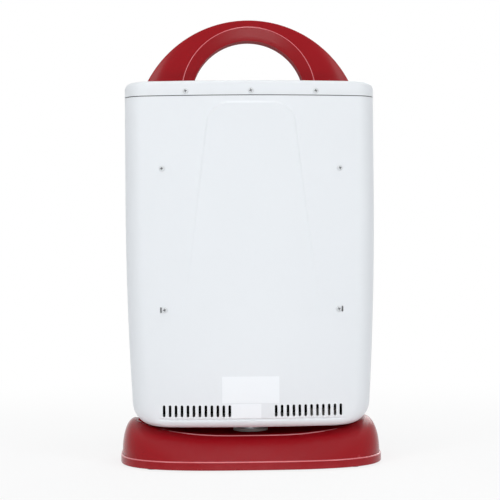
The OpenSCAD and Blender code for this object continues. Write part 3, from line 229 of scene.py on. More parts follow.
def link_piece(name, mesh, finishes):
    for finish_name in finishes:
        mesh.materials.append(finish(finish_name))
    piece = bpy.data.objects.new(name, mesh)
    bpy.context.scene.collection.objects.link(piece)
    return piece


def new_piece(name, points, faces, *finishes):
    mesh = bpy.data.meshes.new(name)
    mesh.from_pydata(points, [], faces)
    mesh.validate()
    return link_piece(name, mesh, finishes)


def from_bmesh(name, bm, *finishes):
    mesh = bpy.data.meshes.new(name)
    bm.to_mesh(mesh)
    bm.free()
    return link_piece(name, mesh, finishes)


def mark_faces(piece, slot, chosen):
    """Gives the faces whose numbers are chosen another of the piece's materials."""
    for number in chosen:
        piece.data.polygons[number].material_index = slot


def face_outwards(piece):
    bm = bmesh.new()
    bm.from_mesh(piece.data)
    bmesh.ops.recalc_face_normals(bm, faces=bm.faces)
    bm.to_mesh(piece.data)
    bm.free()


def bake_modifiers(piece):
    """Turns a piece's modifiers into its own mesh."""
    graph = bpy.context.evaluated_depsgraph_get()
    mesh = bpy.data.meshes.new_from_object(piece.evaluated_get(graph))
    piece.modifiers.clear()
    old = piece.data
    piece.data = mesh
    bpy.data.meshes.remove(old)


def thicken(piece, thickness):
    """Gives a skin its thickness inwards; the inside takes the piece's second material."""
    solid = piece.modifiers.new("wall", "SOLIDIFY")
    solid.thickness = thickness
    solid.offset = -1
    solid.use_even_offset = True
    solid.material_offset = 1
    bake_modifiers(piece)


def cut(piece, tool, finish_name):
    """Cuts the prisms of a tool out of a piece; the walls of the cuts take one of the piece's finishes."""
    cutter = from_bmesh("cutter", tool, finish_name)
    boolean = piece.modifiers.new("cut", "BOOLEAN")
    boolean.operation = "DIFFERENCE"
    boolean.solver = "EXACT"
    boolean.use_self = True
    boolean.object = cutter
    bake_modifiers(piece)
    bpy.data.objects.remove(cutter)


def smooth(piece, degrees=CRISP):
    """Smooth shading with crisp edges, and flat areas kept flat."""
    mesh = piece.data
    mesh.polygons.foreach_set("use_smooth", [True] * len(mesh.polygons))
    mesh.set_sharp_from_angle(angle=math.radians(degrees))
    weighted = piece.modifiers.new("flat_areas", "WEIGHTED_NORMAL")
    weighted.keep_sharp = True


def obround_outline(long_side, width, steps=10):
    """Outline of a slot with round ends, long along the first axis."""
    reach = (long_side - width) / 2
    points = []
    for side in (1, -1):
        for k in range(steps + 1):
            turn = math.radians(-90 + 180 * k / steps) + (0 if side > 0 else math.pi)
            points.append((side * reach + width / 2 * math.cos(turn), width / 2 * math.sin(turn)))
    return points


def upright_slot(long_side, width):
    return [(y, x) for x, y in reversed(obround_outline(long_side, width))]


def rounded_outline(width, height, radius, steps=8):
    """Outline of a rectangle with rounded corners, anticlockwise."""
    points = []
    for k, (sx, sy) in enumerate(((1, 1), (-1, 1), (-1, -1), (1, -1))):
        for i in range(steps + 1):
            turn = math.radians(90 * k + 90 * i / steps)
            points.append((
                sx * (width / 2 - radius) + radius * math.cos(turn),
                sy * (height / 2 - radius) + radius * math.sin(turn),
            ))
    return points


def add_rings(bm, rings):
    """Joins rings of points, from the lowest up, to a closed form in a mesh under construction."""
    rings = [[bm.verts.new(point) for point in ring] for ring in rings]
    bm.faces.new(rings[0][::-1])
    bm.faces.new(rings[-1])
    for low, high in zip(rings, rings[1:]):
        for i in range(len(low)):
            k = (i + 1) % len(low)
            bm.faces.new((low[i], low[k], high[k], high[i]))


def add_prism(bm, outline, low, high, place):
    """Adds a closed prism over an outline to a mesh under construction."""
    add_rings(bm, [[place @ Vector((x, y, z)) for x, y in outline] for z in (low, high)])


def on_rear(x, z):
    """Place on the bowed rear face, with its own Z pointing straight out and its own X along the face."""
    bow = sizes().rear_bow
    turn = math.asin(x / bow)
    move = Matrix.Translation((x, REAR_Y - bow + bow * math.cos(turn), z))
    return move @ Matrix.Rotation(-turn, 4, "Z") @ Matrix.Rotation(math.radians(-90), 4, "X")


# Form of the body


def round_in(radius, up):
    return radius - math.sqrt(max(0, radius**2 - (radius - up) ** 2)) if up < radius else 0


def half_width(up):
    s = sizes()
    return BODY_HALF_W - s.side_draw * max(0, (s.draw_start - up) / s.draw_start) ** 2


class Plan:
    """One level cut through the body: its half width, its rear and front faces and their corners."""

    def __init__(self, up, inset=0.0, margin=0.0):
        s = sizes()
        low, high = up - inset, BODY_H - inset - up
        side_in = round_in(s.bottom_corner - inset, low) + round_in(s.top_corner - inset, high)
        top_in = round_in(s.top_edge - inset, high)
        self.z = BODY_Z + up
        self.half = half_width(up) - inset - side_in - margin
        self.rear = REAR_Y - inset - round_in(s.bottom_rear - inset, low) - top_in - margin
        self.front = FRONT_Y + inset + round_in(s.bottom_front - inset, low) + top_in + margin
        self.bow = s.rear_bow - inset
        self.corner = s.rear_corner - inset
        self.front_corner = s.front_corner - inset
        self.bow_y = self.rear - self.bow
        self.corner_y = self.bow_y + math.sqrt(
            (self.bow - self.corner) ** 2 - (self.half - self.corner) ** 2
        )
        self.meet = math.atan2(self.corner_y - self.bow_y, self.half - self.corner)
        self.bow_end = self.bow * math.cos(self.meet)

    def rear_y(self, x):
        return self.bow_y + math.sqrt(self.bow**2 - x * x)

    def corner_point(self, share):
        turn = self.meet * share
        return (
            self.half - self.corner + self.corner * math.cos(turn),
            self.corner_y + self.corner * math.sin(turn),
        )

    def front_point(self, share):
        turn = math.radians(-90 + 90 * share)
        return (
            self.half - self.front_corner + self.front_corner * math.cos(turn),
            self.front + self.front_corner + self.front_corner * math.sin(turn),
        )


def spread(start, end, count):
    return [start + (end - start) * k / count for k in range(count + 1)]


def edge_ups(radius, inset=0.0, steps=9):
    return [inset + (radius - inset) * (1 - math.cos(math.radians(90 * k / steps))) for k in range(steps + 1)]


def levels(*lists):
    """Merges lists of heights into one rising list, without heights that nearly repeat."""
    merged = []
    for up in sorted(up for part in lists for up in part):
        if not merged or up - merged[-1] > 0.15 * MM:
            merged.append(up)
    return merged


# Finishes


def new_group(name, inputs, outputs):
    """An empty shader node group with named sockets."""
    group = bpy.data.node_groups.new(name, "ShaderNodeTree")
    for label, kind, default in inputs:
        socket = group.interface.new_socket(label, in_out="INPUT", socket_type=kind)
        socket.default_value = default
    for label, kind in outputs:
        group.interface.new_socket(label, in_out="OUTPUT", socket_type=kind)
    return group, group.nodes.new("NodeGroupInput"), group.nodes.new("NodeGroupOutput")


def noise(tree, coordinates, scale, detail, roughness=0.5):
    node = tree.nodes.new("ShaderNodeTexNoise")
    node.inputs["Detail"].default_value = detail
    node.inputs["Roughness"].default_value = roughness
    tree.links.new(coordinates, node.inputs["Vector"])
    if isinstance(scale, (int, float)):
        node.inputs["Scale"].default_value = scale
    else:
        tree.links.new(scale, node.inputs["Scale"])
    return node.outputs["Fac"]


def math_node(tree, operation, *values):
    node = tree.nodes.new("ShaderNodeMath")
    node.operation = operation
    for socket, value in zip(node.inputs, values):
        if isinstance(value, (int, float)):
            socket.default_value = value
        else:
            tree.links.new(value, socket)
    return node.outputs[0]


def mix_colour(tree, blend, factor, first, second):
    node = tree.nodes.new("ShaderNodeMix")
    node.data_type = "RGBA"
    node.blend_type = blend
    for name, value in (("Factor_Float", factor), ("A_Color", first), ("B_Color", second)):
        socket = next(s for s in node.inputs if s.identifier == name)
        if isinstance(value, (int, float)):
            socket.default_value = value
        else:
            tree.links.new(value, socket)
    return next(s for s in node.outputs if s.identifier == "Result_Color")


def shaded(tree, base, level, amount):
    """A colour that is lighter where a level lies above zero and darker where it lies below."""
    tone = math_node(tree, "MULTIPLY_ADD", level, amount, 1.0)
    shade = tree.nodes.new("ShaderNodeCombineColor")
    for socket in shade.inputs:
        tree.links.new(tone, socket)
    return mix_colour(tree, "MULTIPLY", 1.0, base, shade.outputs[0])


def object_coordinates(tree):
    return tree.nodes.new("ShaderNodeTexCoord").outputs["Object"]


def build_groups():
    """The effects that several finishes share."""
    colour_in = ("Base", "NodeSocketColor", (0.8, 0.8, 0.8, 1))

    # Slow drift of tone and gloss over a surface, as on a moulding or a sprayed sheet
    group, start, end = new_group(
        "Tone drift",
        [colour_in, ("Drift", "NodeSocketFloat", 0.05), ("Scale", "NodeSocketFloat", 12.0),
         ("Gloss", "NodeSocketFloat", 0.35), ("Gloss Spread", "NodeSocketFloat", 0.1)],
        [("Color", "NodeSocketColor"), ("Roughness", "NodeSocketFloat")],
    )
    place = object_coordinates(group)
    slow = math_node(group, "SUBTRACT", noise(group, place, start.outputs["Scale"], 3), 0.5)
    tinted = shaded(group, start.outputs["Base"], slow, start.outputs["Drift"])
    group.links.new(tinted, end.inputs["Color"])
    fast = math_node(group, "SUBTRACT", noise(group, place, 90.0, 4), 0.5)
    gloss = math_node(group, "MULTIPLY_ADD", fast, start.outputs["Gloss Spread"], start.outputs["Gloss"])
    group.links.new(gloss, end.inputs["Roughness"])

    # Fine texture of a moulded or sprayed surface, as a height
    group, start, end = new_group(
        "Fine texture",
        [("Scale", "NodeSocketFloat", 900.0), ("Coarse", "NodeSocketFloat", 0.3)],
        [("Height", "NodeSocketFloat")],
    )
    place = object_coordinates(group)
    fine = noise(group, place, start.outputs["Scale"], 2)
    wide = noise(group, place, math_node(group, "MULTIPLY", start.outputs["Scale"], 0.12), 2)
    height = math_node(group, "ADD", fine, math_node(group, "MULTIPLY", wide, start.outputs["Coarse"]))
    group.links.new(height, end.inputs["Height"])

    # Edges toned by their pointiness: wear where handling has dulled or lightened them, and on the red a
    # painted highlight
    group, start, end = new_group(
        "Edge wear and highlight",
        [colour_in, ("Rubbed", "NodeSocketColor", (0.9, 0.9, 0.9, 1)), ("Amount", "NodeSocketFloat", 0.3)],
        [("Color", "NodeSocketColor")],
    )
    shape = group.nodes.new("ShaderNodeNewGeometry")
    ramp = group.nodes.new("ShaderNodeMapRange")
    ramp.inputs["From Min"].default_value = 0.51
    ramp.inputs["From Max"].default_value = 0.57
    group.links.new(shape.outputs["Pointiness"], ramp.inputs["Value"])
    patchy = noise(group, object_coordinates(group), 60.0, 5)
    mask = math_node(group, "MULTIPLY", ramp.outputs[0], patchy)
    mask = math_node(group, "MULTIPLY", mask, start.outputs["Amount"])
    wear_and_highlight = mix_colour(group, "MIX", mask, start.outputs["Base"], start.outputs["Rubbed"])
    group.links.new(wear_and_highlight, end.inputs["Color"])

    # Lines drawn along a sheet by rolling or brushing
    group, start, end = new_group(
        "Drawn lines",
        [colour_in, ("Stretch", "NodeSocketVector", (4.0, 900.0, 900.0)), ("Depth", "NodeSocketFloat", 0.12),
         ("Gloss", "NodeSocketFloat", 0.3)],
        [("Color", "NodeSocketColor"), ("Roughness", "NodeSocketFloat"), ("Height", "NodeSocketFloat")],
    )
    stretch = group.nodes.new("ShaderNodeVectorMath")
    stretch.operation = "MULTIPLY"
    group.links.new(object_coordinates(group), stretch.inputs[0])
    group.links.new(start.outputs["Stretch"], stretch.inputs[1])
    lines = noise(group, stretch.outputs[0], 1.0, 3)
    level = math_node(group, "SUBTRACT", lines, 0.5)
    drawn = shaded(group, start.outputs["Base"], level, start.outputs["Depth"])
    gloss = math_node(group, "MULTIPLY_ADD", level, 0.12, start.outputs["Gloss"])
    for result, label in ((drawn, "Color"), (gloss, "Roughness"), (lines, "Height")):
        group.links.new(result, end.inputs[label])


def new_finish(name):
    material = bpy.data.materials.new(name)
    material.use_nodes = True
    return material, material.node_tree, material.node_tree.nodes["Principled BSDF"]


def use_group(tree, name, **values):
    node = tree.nodes.new("ShaderNodeGroup")
    node.node_tree = bpy.data.node_groups[name]
    for label, value in values.items():
        socket = node.inputs[label.replace("_", " ")]
        socket.default_value = (*value, 1) if socket.type == "RGBA" else value
    return node


def bump(tree, shader, height, strength, distance):
    node = tree.nodes.new("ShaderNodeBump")
    node.inputs["Strength"].default_value = strength
    node.inputs["Distance"].default_value = distance
    tree.links.new(height, node.inputs["Height"])
    tree.links.new(node.outputs["Normal"], shader.inputs["Normal"])


def link_tone(tree, node, shader):
    """Feeds a group's colour and roughness into a shader."""
    tree.links.new(node.outputs["Color"], shader.inputs["Base Color"])
    tree.links.new(node.outputs["Roughness"], shader.inputs["Roughness"])


def coated_finish(name, base, gloss, drift, drift_scale, texture, relief, specular=0.5, coat=0.0,
                  edge_wear_and_highlight=None, edge_share=0.0):
    """A moulded plastic or sprayed sheet: drifting tone, fine texture and toned edges, which are wear on the
    white enamel and the screws and a painted highlight on the red.
    """
    _, tree, shader = new_finish(name)
    drifted = use_group(
        tree, "Tone drift", Base=base, Drift=drift, Scale=drift_scale, Gloss=gloss, Gloss_Spread=0.08
    )
    link_tone(tree, drifted, shader)
    if edge_wear_and_highlight:
        edges = use_group(tree, "Edge wear and highlight", Rubbed=edge_wear_and_highlight, Amount=edge_share)
        tree.links.new(drifted.outputs["Color"], edges.inputs["Base"])
        tree.links.new(edges.outputs["Color"], shader.inputs["Base Color"])
    fine = use_group(tree, "Fine texture", Scale=texture, Coarse=0.4)
    bump(tree, shader, fine.outputs["Height"], relief, 0.2 * MM)
    shader.inputs["Specular IOR Level"].default_value = specular
    shader.inputs["Coat Weight"].default_value = coat
    shader.inputs["Coat Roughness"].default_value = 0.12


def metal_finish(name, base, gloss, stretch, depth=0.12, relief=0.04):
    """Bare or plated metal with drawn lines."""
    _, tree, shader = new_finish(name)
    drawn = use_group(tree, "Drawn lines", Base=base, Stretch=stretch, Depth=depth, Gloss=gloss)
    link_tone(tree, drawn, shader)
    bump(tree, shader, drawn.outputs["Height"], relief, 0.1 * MM)
    shader.inputs["Metallic"].default_value = 1.0


def clear_finish(name, base, gloss, transmission, ior=1.46):
    """Quartz or a tinted lens, with a faint bloom in it."""
    _, tree, shader = new_finish(name)
    drifted = use_group(tree, "Tone drift", Base=base, Drift=0.1, Scale=30.0, Gloss=gloss, Gloss_Spread=0.1)
    link_tone(tree, drifted, shader)
    shader.inputs["Transmission Weight"].default_value = transmission
    shader.inputs["IOR"].default_value = ior


def build_finishes():
    c = colours()
    # Darker copy of the red for the handle's opening wall, as painted shade
    red_inner_shade = [0.75 * value for value in c.red]
    rubbed_white = {"edge_wear_and_highlight": srgb(225, 227, 229), "edge_share": 0.3}
    # The red's edge tint is a painted highlight along its edges
    highlighted_red = {"edge_wear_and_highlight": srgb(205, 90, 96), "edge_share": 0.4, "specular": 0.19}
    rubbed_screw = {"edge_wear_and_highlight": srgb(176, 178, 182), "edge_share": 0.5}
    dull, burnished = {"specular": 0.2}, {"specular": 0.6, "coat": 0.3}
    # Name, colour, gloss, drift of tone and its scale, texture and its relief, and what else the finish has
    for *values, more in (
        ("white_enamel", c.enamel, 0.45, 0.03, 6, 520, 0.06, rubbed_white),
        ("white_moulding", c.moulding, 0.38, 0.03, 10, 1300, 0.08, {}),
        ("red_moulding", c.red, 0.25, 0.08, 14, 700, 0.03, highlighted_red),
        # Matt, and lighter than the moulding's red as painted light under the body
        ("red_matte_lit", c.deck, 0.85, 0.1, 20, 500, 0.2, {"specular": 0.0}),
        # Painted shade on the handle's opening wall
        ("red_inner_shade", red_inner_shade, 0.6, 0.1, 20, 700, 0.1, {"specular": 0.06}),
        # Painted highlight along the lip's rounding and the handle's ridge
        ("red_highlight", c.red_highlight, 0.22, 0.12, 30, 700, 0.03, burnished),
        # Painted highlight on the bead along the deck's edge
        ("red_bead_highlight", c.red_bead_highlight, 0.22, 0.12, 30, 700, 0.03, burnished),
        ("screw_paint", c.screw, 0.3, 0.06, 80, 900, 0.05, rubbed_screw),
        # Painted shade in the screws' cross recesses
        ("recess_shade", c.recess, 0.5, 0.1, 80, 900, 0.1, {}),
        ("dial_ink", c.ink, 0.6, 0.1, 60, 1500, 0.08, {}),
        ("panel_moulding", c.panel, 0.5, 0.04, 10, 1800, 0.18, {}),
        ("pale_moulding", c.pale, 0.5, 0.08, 40, 1200, 0.08, {}),
        ("black_moulding", c.dark, 0.55, 0.15, 40, 1500, 0.15, {}),
        ("black_rubber", c.dark, 0.8, 0.25, 50, 1800, 0.3, {}),
        ("black_sheet", srgb(15, 15, 16), 0.75, 0.2, 20, 600, 0.1, dull),
        # Near black that stands in for shade inside the shells and their slots
        ("painted_shade_black", srgb(16, 16, 17), 0.8, 0.2, 20, 700, 0.1, dull),
        ("ceramic", srgb(232, 226, 214), 0.7, 0.1, 60, 1500, 0.2, {}),
        ("blank_foil", c.foil, 0.42, 0.02, 10, 900, 0.04, {}),
    ):
        coated_finish(*values, **more)
    metal_finish("zinc_sheet", c.zinc, 0.4, (60.0, 60.0, 900.0), depth=0.25)
    metal_finish("screw_zinc", srgb(196, 198, 201), 0.33, (900.0, 200.0, 200.0), depth=0.2)
    metal_finish("chrome_wire", srgb(226, 228, 231), 0.12, (300.0, 300.0, 40.0), depth=0.06, relief=0.01)
    metal_finish("polished_sheet", srgb(230, 231, 233), 0.16, (6.0, 700.0, 700.0), depth=0.1, relief=0.02)
    metal_finish("coil_wire", srgb(120, 112, 106), 0.5, (900.0, 60.0, 60.0), depth=0.5, relief=0.3)
    clear_finish("milky_quartz", srgb(240, 238, 234), 0.35, 0.55)
    clear_finish("amber_lens", srgb(232, 120, 40), 0.2, 0.5, ior=1.49)


def finish(name):
    return bpy.data.materials[name]


def dress(material, *nodes):
    """Gives CAD nodes a finish and smooth shading between their edges."""
    for node in nodes:
        mesh = NODES[node].data
        mesh.materials.clear()
        mesh.materials.append(finish(material))
        smooth(NODES[node])


def settle(piece, body, slot, *nodes, crisp=CRISP):
    """Shades a piece, hangs it on the body it moves with and hides the nodes it stands for. The slot is not
    used.
    """
    smooth(piece, crisp)
    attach(piece, body)
    if nodes:
        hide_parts(*nodes)


# Operators


class HEATER_OT_finishes(bpy.types.Operator):
    """Builds the shared effects and every finish"""

    bl_idname = "heater.finishes"
    bl_label = "Finishes"

    def execute(self, context):
        build_groups()
        build_finishes()
        return {"FINISHED"}


def panel_line(up):
    """Half width of the raised panel's straight side at a height."""
    s = sizes()
    share = (s.panel_top - up) / (s.panel_top - s.panel_foot)
    return s.panel_top_w / 2 + (s.panel_foot_w - s.panel_top_w) / 2 * min(1, max(0, share))


def panel_rise(x, up):
    """How far the raised panel lifts the skin at a point of the rear face."""
    s = sizes()
    across = abs(x) - panel_line(up) + s.panel_corner
    above = up - s.panel_top + s.panel_corner
    outside = math.hypot(max(across, 0), max(above, 0)) + min(max(across, above), 0) - s.panel_corner
    edge = min(1, max(0, 0.5 - outside / s.panel_slope))
    run_out = min(1, max(0, (up - s.panel_foot) / (s.panel_top - s.panel_foot)))
    return s.panel_h * run_out * edge * edge * (3 - 2 * edge)


def crease_dip(x, up):
    """How far the creased line sinks into the skin at a point of the rear face."""
    s = sizes()
    fade = 2 * MM
    across = max(0, 1 - abs(up - s.crease_up - s.crease_w / 2) / s.crease_w)
    end = min(1, max(0, (s.crease_l / 2 - abs(x)) / fade))
    return s.crease_depth * end * across * across * (3 - 2 * across)


def rear_columns(plan, up):
    """Points of one level of the rear cover, from its right front edge round the back to its left one."""
    s = sizes()
    least = 4 * MM
    free = max(0, s.panel_top - up)
    line = max(panel_line(min(up, s.panel_top)) - round_in(s.panel_corner, free), least)
    line = min(line, plan.bow_end - s.panel_slope)
    half = s.panel_slope / 2
    xs = spread(plan.bow_end, line + half, 18) + spread(line + half, line - half, 8)[1:]
    xs += spread(line - half, 0, 10)[1:]
    right = [(plan.half, y) for y in spread(SPLIT_Y, plan.corner_y, 3)[:-1]]
    right += [plan.corner_point(k / 16) for k in range(16)]
    for x in xs:
        lift = panel_rise(x, up) - crease_dip(x, up)
        right.append((x + lift * x / plan.bow, plan.rear_y(x) + lift * math.sqrt(1 - (x / plan.bow) ** 2)))
    points = right + [(-x, y) for x, y in reversed(right[:-1])]
    return [(x, y, plan.z) for x, y in points]


class HEATER_OT_rear_cover(bpy.types.Operator):
    """Builds the bowed rear cover with its raised panel, intake slots and creased line"""

    bl_idname = "heater.rear_cover"
    bl_label = "Rear Cover"

    def execute(self, context):
        s = sizes()
        wall, tongue, tongue_h = 1 * MM, 1.5 * MM, 12 * MM
        seam = SEAM_LOW - BODY_Z
        corner_top = s.panel_top - s.panel_corner
        slope = s.panel_slope
        crease = spread(s.crease_up - s.crease_w, s.crease_up + 2 * s.crease_w, 12)
        ups = levels(edge_ups(s.bottom_corner, steps=14), edge_ups(s.bottom_rear), crease)
        ups += spread(s.bottom_corner, s.panel_foot, 20)[1:]
        ups += spread(s.panel_foot, corner_top, 40)[1:] + spread(corner_top, s.panel_top - slope, 22)[1:]
        ups += spread(s.panel_top - slope, s.panel_top + slope, 14)[1:] + [s.panel_top + 2 * slope, seam]
        rows = [rear_columns(Plan(0, margin=FLANGE), 0)]
        rows += [rear_columns(Plan(up), up) for up in ups]
        rows += [rear_columns(Plan(up, inset=tongue), up) for up in (seam, seam + tongue_h)]
        for row, z in ((rows[-2], SEAM_LOW), (rows[-1], SEAM_LOW + tongue_h)):
            row[:] = [(x, y, z) for x, y, _ in row]
        count = len(rows[0])
        points, faces = [p for row in rows for p in row], grid_faces(len(rows), count, False)
        # The inside, the slot walls and the tongue behind the cap take the painted shade black, which darkens
        # the slots and the seam
        piece = new_piece("rear_cover_shell", points, faces, "white_enamel", "painted_shade_black")
        mark_faces(piece, 1, range((len(rows) - 3) * (count - 1), len(piece.data.polygons)))
        thicken(piece, wall)
        tool = bmesh.new()
        vent, key_slot = upright_slot(s.vent_l, s.vent_w), upright_slot(s.key_slot_l, s.key_slot_w)
        for side in (-1, 1):
            for i in range(s.vent_count):
                place = on_rear(side * (s.vent_inner + s.vent_pitch * i), BODY_Z + s.vent_up)
                add_prism(tool, vent, -CUT_REACH, CUT_REACH, place)
            place = on_rear(side * (s.lower_screw_x + s.key_slot_out), BODY_Z + s.lower_screw_up)
            add_prism(tool, key_slot, -CUT_REACH, CUT_REACH, place)
        cut(piece, tool, "painted_shade_black")
        settle(piece, "heater_body", "white_steel", "rear_cover")
        return {"FINISHED"}


class HEATER_OT_top_cap(bpy.types.Operator):
    """Builds the top cap with its rounded edges and outlet slots"""

    bl_idname = "heater.top_cap"
    bl_label = "Top Cap"

    def execute(self, context):
        s = sizes()
        ups = [CAP_LOW.z - BODY_Z] + [BODY_H - up for up in reversed(edge_ups(s.top_corner, steps=12))]
        rows = []
        for up in ups:
            plan = Plan(up)
            half = [(x, plan.front) for x in spread(0, plan.half - plan.front_corner, 12)[:-1]]
            half += [plan.front_point(k / 10) for k in range(11)]
            half += [(plan.half, y) for y in spread(plan.front + plan.front_corner, plan.corner_y, 6)[1:-1]]
            half += [plan.corner_point(k / 14) for k in range(15)]
            half += [(x, plan.rear_y(x)) for x in spread(plan.bow_end, 0, 20)[1:]]
            loop = half + [(-x, y) for x, y in reversed(half[1:-1])]
            rows.append([(x, y, plan.z) for x, y in loop])
        count = len(rows[0])
        faces = grid_faces(len(rows), count, True)
        faces.append(tuple((len(rows) - 1) * count + i for i in range(count)))
        points = [p for row in rows for p in row]
        # The inside and the outlet slots' walls take the painted shade black
        piece = new_piece("top_cap_shell", points, faces, "white_enamel", "painted_shade_black")
        wall = 1.2 * MM
        thicken(piece, wall)
        tool = bmesh.new()
        outlet = upright_slot(s.outlet_l, s.outlet_w)
        for side in (-1, 1):
            for i in range(s.outlet_count):
                x = (i - (s.outlet_count - 1) / 2) * s.outlet_pitch
                place = Matrix.Translation((x, side * s.outlet_out, BODY_TOP))
                add_prism(tool, outlet, -CUT_REACH, CUT_REACH, place)
        cut(piece, tool, "painted_shade_black")
        settle(piece, "heater_body", "white_steel", "top_cap")
        return {"FINISHED"}


def superellipse(a, b, power, turn):
    cos, sin = math.cos(turn), math.sin(turn)
    return (
        a * math.copysign(abs(cos) ** (2 / power), cos),
        b * math.copysign(abs(sin) ** (2 / power), sin),
    )


def mix_points(first, second, share):
    return tuple(p + (q - p) * share for p, q in zip(first, second))


class HEATER_OT_base_cover(bpy.types.Operator):
    """Builds the domed base with its lip, dished deck and rounded deck edge"""

    bl_idname = "heater.base_cover"
    bl_label = "Base Cover"

    def execute(self, context):
        s = sizes()
        half_w, half_d, low, lip = BASE_HIGH.x, BASE_HIGH.y, BASE_LOW.z, s.lip_top
        # Powers of the lip's outline, of the deck's outline and of the deck's rise towards its ends
        power, deck_power, rise_power = 3, 2.4, 2.4
        # Where the dome's curve bends: its share inwards, and its share upwards at the ends and at the sides
        knee_in, knee_ends, knee_sides = 0.45, 0.84, 0.66
        dome_end, edge, turned_in, bush_hole, wall = 0.97, 0.6 * MM, 2.6 * MM, 20 * MM, 1.2 * MM

        def deck_height(x):
            share = max(0, (abs(x) - s.deck_flat) / (s.deck_w / 2 - s.deck_flat))
            return s.deck_z + s.deck_rise * share**rise_power

        def lip_point(turn, inset, z):
            return (*superellipse(half_w - inset, half_d - inset, power, turn), z)

        def dome_point(turn, u):
            foot = lip_point(turn, s.lip_step, lip)
            rim = deck_point(turn, 1)
            ends = math.cos(turn) ** 2
            knee = mix_points(foot, rim, knee_in * (1 - ends))
            rise = knee_ends * ends + knee_sides * (1 - ends)
            knee = (knee[0], knee[1], foot[2] + (rim[2] - foot[2]) * rise)
            return mix_points(mix_points(foot, knee, u), mix_points(knee, rim, u), u)

        def deck_point(turn, share):
            x, y = superellipse(share * s.deck_w / 2, share * s.deck_d / 2, deck_power, turn)
            return (x, y, deck_height(x))

        def crease_point(turn, share):
            outer = dome_point(turn, dome_end)
            inner = deck_point(turn, 1 - s.deck_crease / (s.deck_d / 2))
            middle = dome_point(turn, 1)
            x, y, z = mix_points(mix_points(outer, middle, share), mix_points(middle, inner, share), share)
            # The bead runs out over the last third of its reach
            fade = min(1, max(0, 3 - 3 * abs(x) / s.bead_end))
            return (x, y, z + s.deck_bead * fade * math.sin(math.pi * share) ** 2)

        curl, curl_steps, crease_steps = s.lip_round, 6, 12
        rings = [lambda t: lip_point(t, turned_in, low), lambda t: lip_point(t, edge, low)]
        rings += [lambda t: lip_point(t, 0, low + edge), lambda t: lip_point(t, 0, lip - curl)]
        lip_rows = range(len(rings) - 1, len(rings) + curl_steps - 1)
        for k in range(1, curl_steps + 1):
            a = math.radians(90 * k / curl_steps)
            inset, drop = curl * (1 - math.cos(a)), curl * (1 - math.sin(a))
            rings.append(lambda t, inset=inset, drop=drop: lip_point(t, inset, lip - drop))
        rings += [lambda t, u=u: dome_point(t, u) for u in spread(0, dome_end, 28)]
        crease_rows = range(len(rings) - 1, len(rings) + crease_steps - 1)
        rings += [lambda t, k=k: crease_point(t, k / crease_steps) for k in range(1, crease_steps + 1)]
        rings += [lambda t, w=w: deck_point(t, w) for w in (0.93, 0.88, 0.8, 0.7, 0.6, 0.5, 0.4)]
        rings += [lambda t: (bush_hole * math.cos(t), bush_hole * math.sin(t), s.deck_z)]
        count = 240
        points = [ring(2 * math.pi * i / count) for ring in rings for i in range(count)]
        finishes = ("red_moulding", "red_matte_lit", "red_highlight", "red_bead_highlight")
        piece = new_piece("base_cover_shell", points, grid_faces(len(rings), count, True), *finishes)
        deck_rows = range(crease_rows[-1] + 1, len(rings) - 1)
        # Material slot, rows of faces and how far to each side, with fewer rows where the bead runs out
        # Slot 1 gives the deck its lighter red as painted light; slots 2 and 3 paint highlights on the lip's
        # rounding and on the deck's bead
        for slot, marked, reach in (
            (1, deck_rows, s.deck_w), (2, lip_rows[1:-1], s.deck_w),
            (3, crease_rows[2:-3], 0.75 * s.bead_end), (3, crease_rows[3:-5], 0.9 * s.bead_end),
        ):
            chosen = [row * count + i for row in marked for i in range(count)]
            mark_faces(piece, slot, [face for face in chosen if abs(points[face][0]) < reach])
        thicken(piece, wall)
        settle(piece, "base", "red_plastic", "base_cover", crisp=40)
        return {"FINISHED"}


def arch(radius, top, foot):
    """An arch of the handle: a function that runs from one foot, at -1, over the top to the other, at 1."""
    middle = top - radius
    reach = math.acos((foot - middle) / radius)
    return lambda t: Vector((radius * math.sin(reach * t), 0, middle + radius * math.cos(reach * t)))


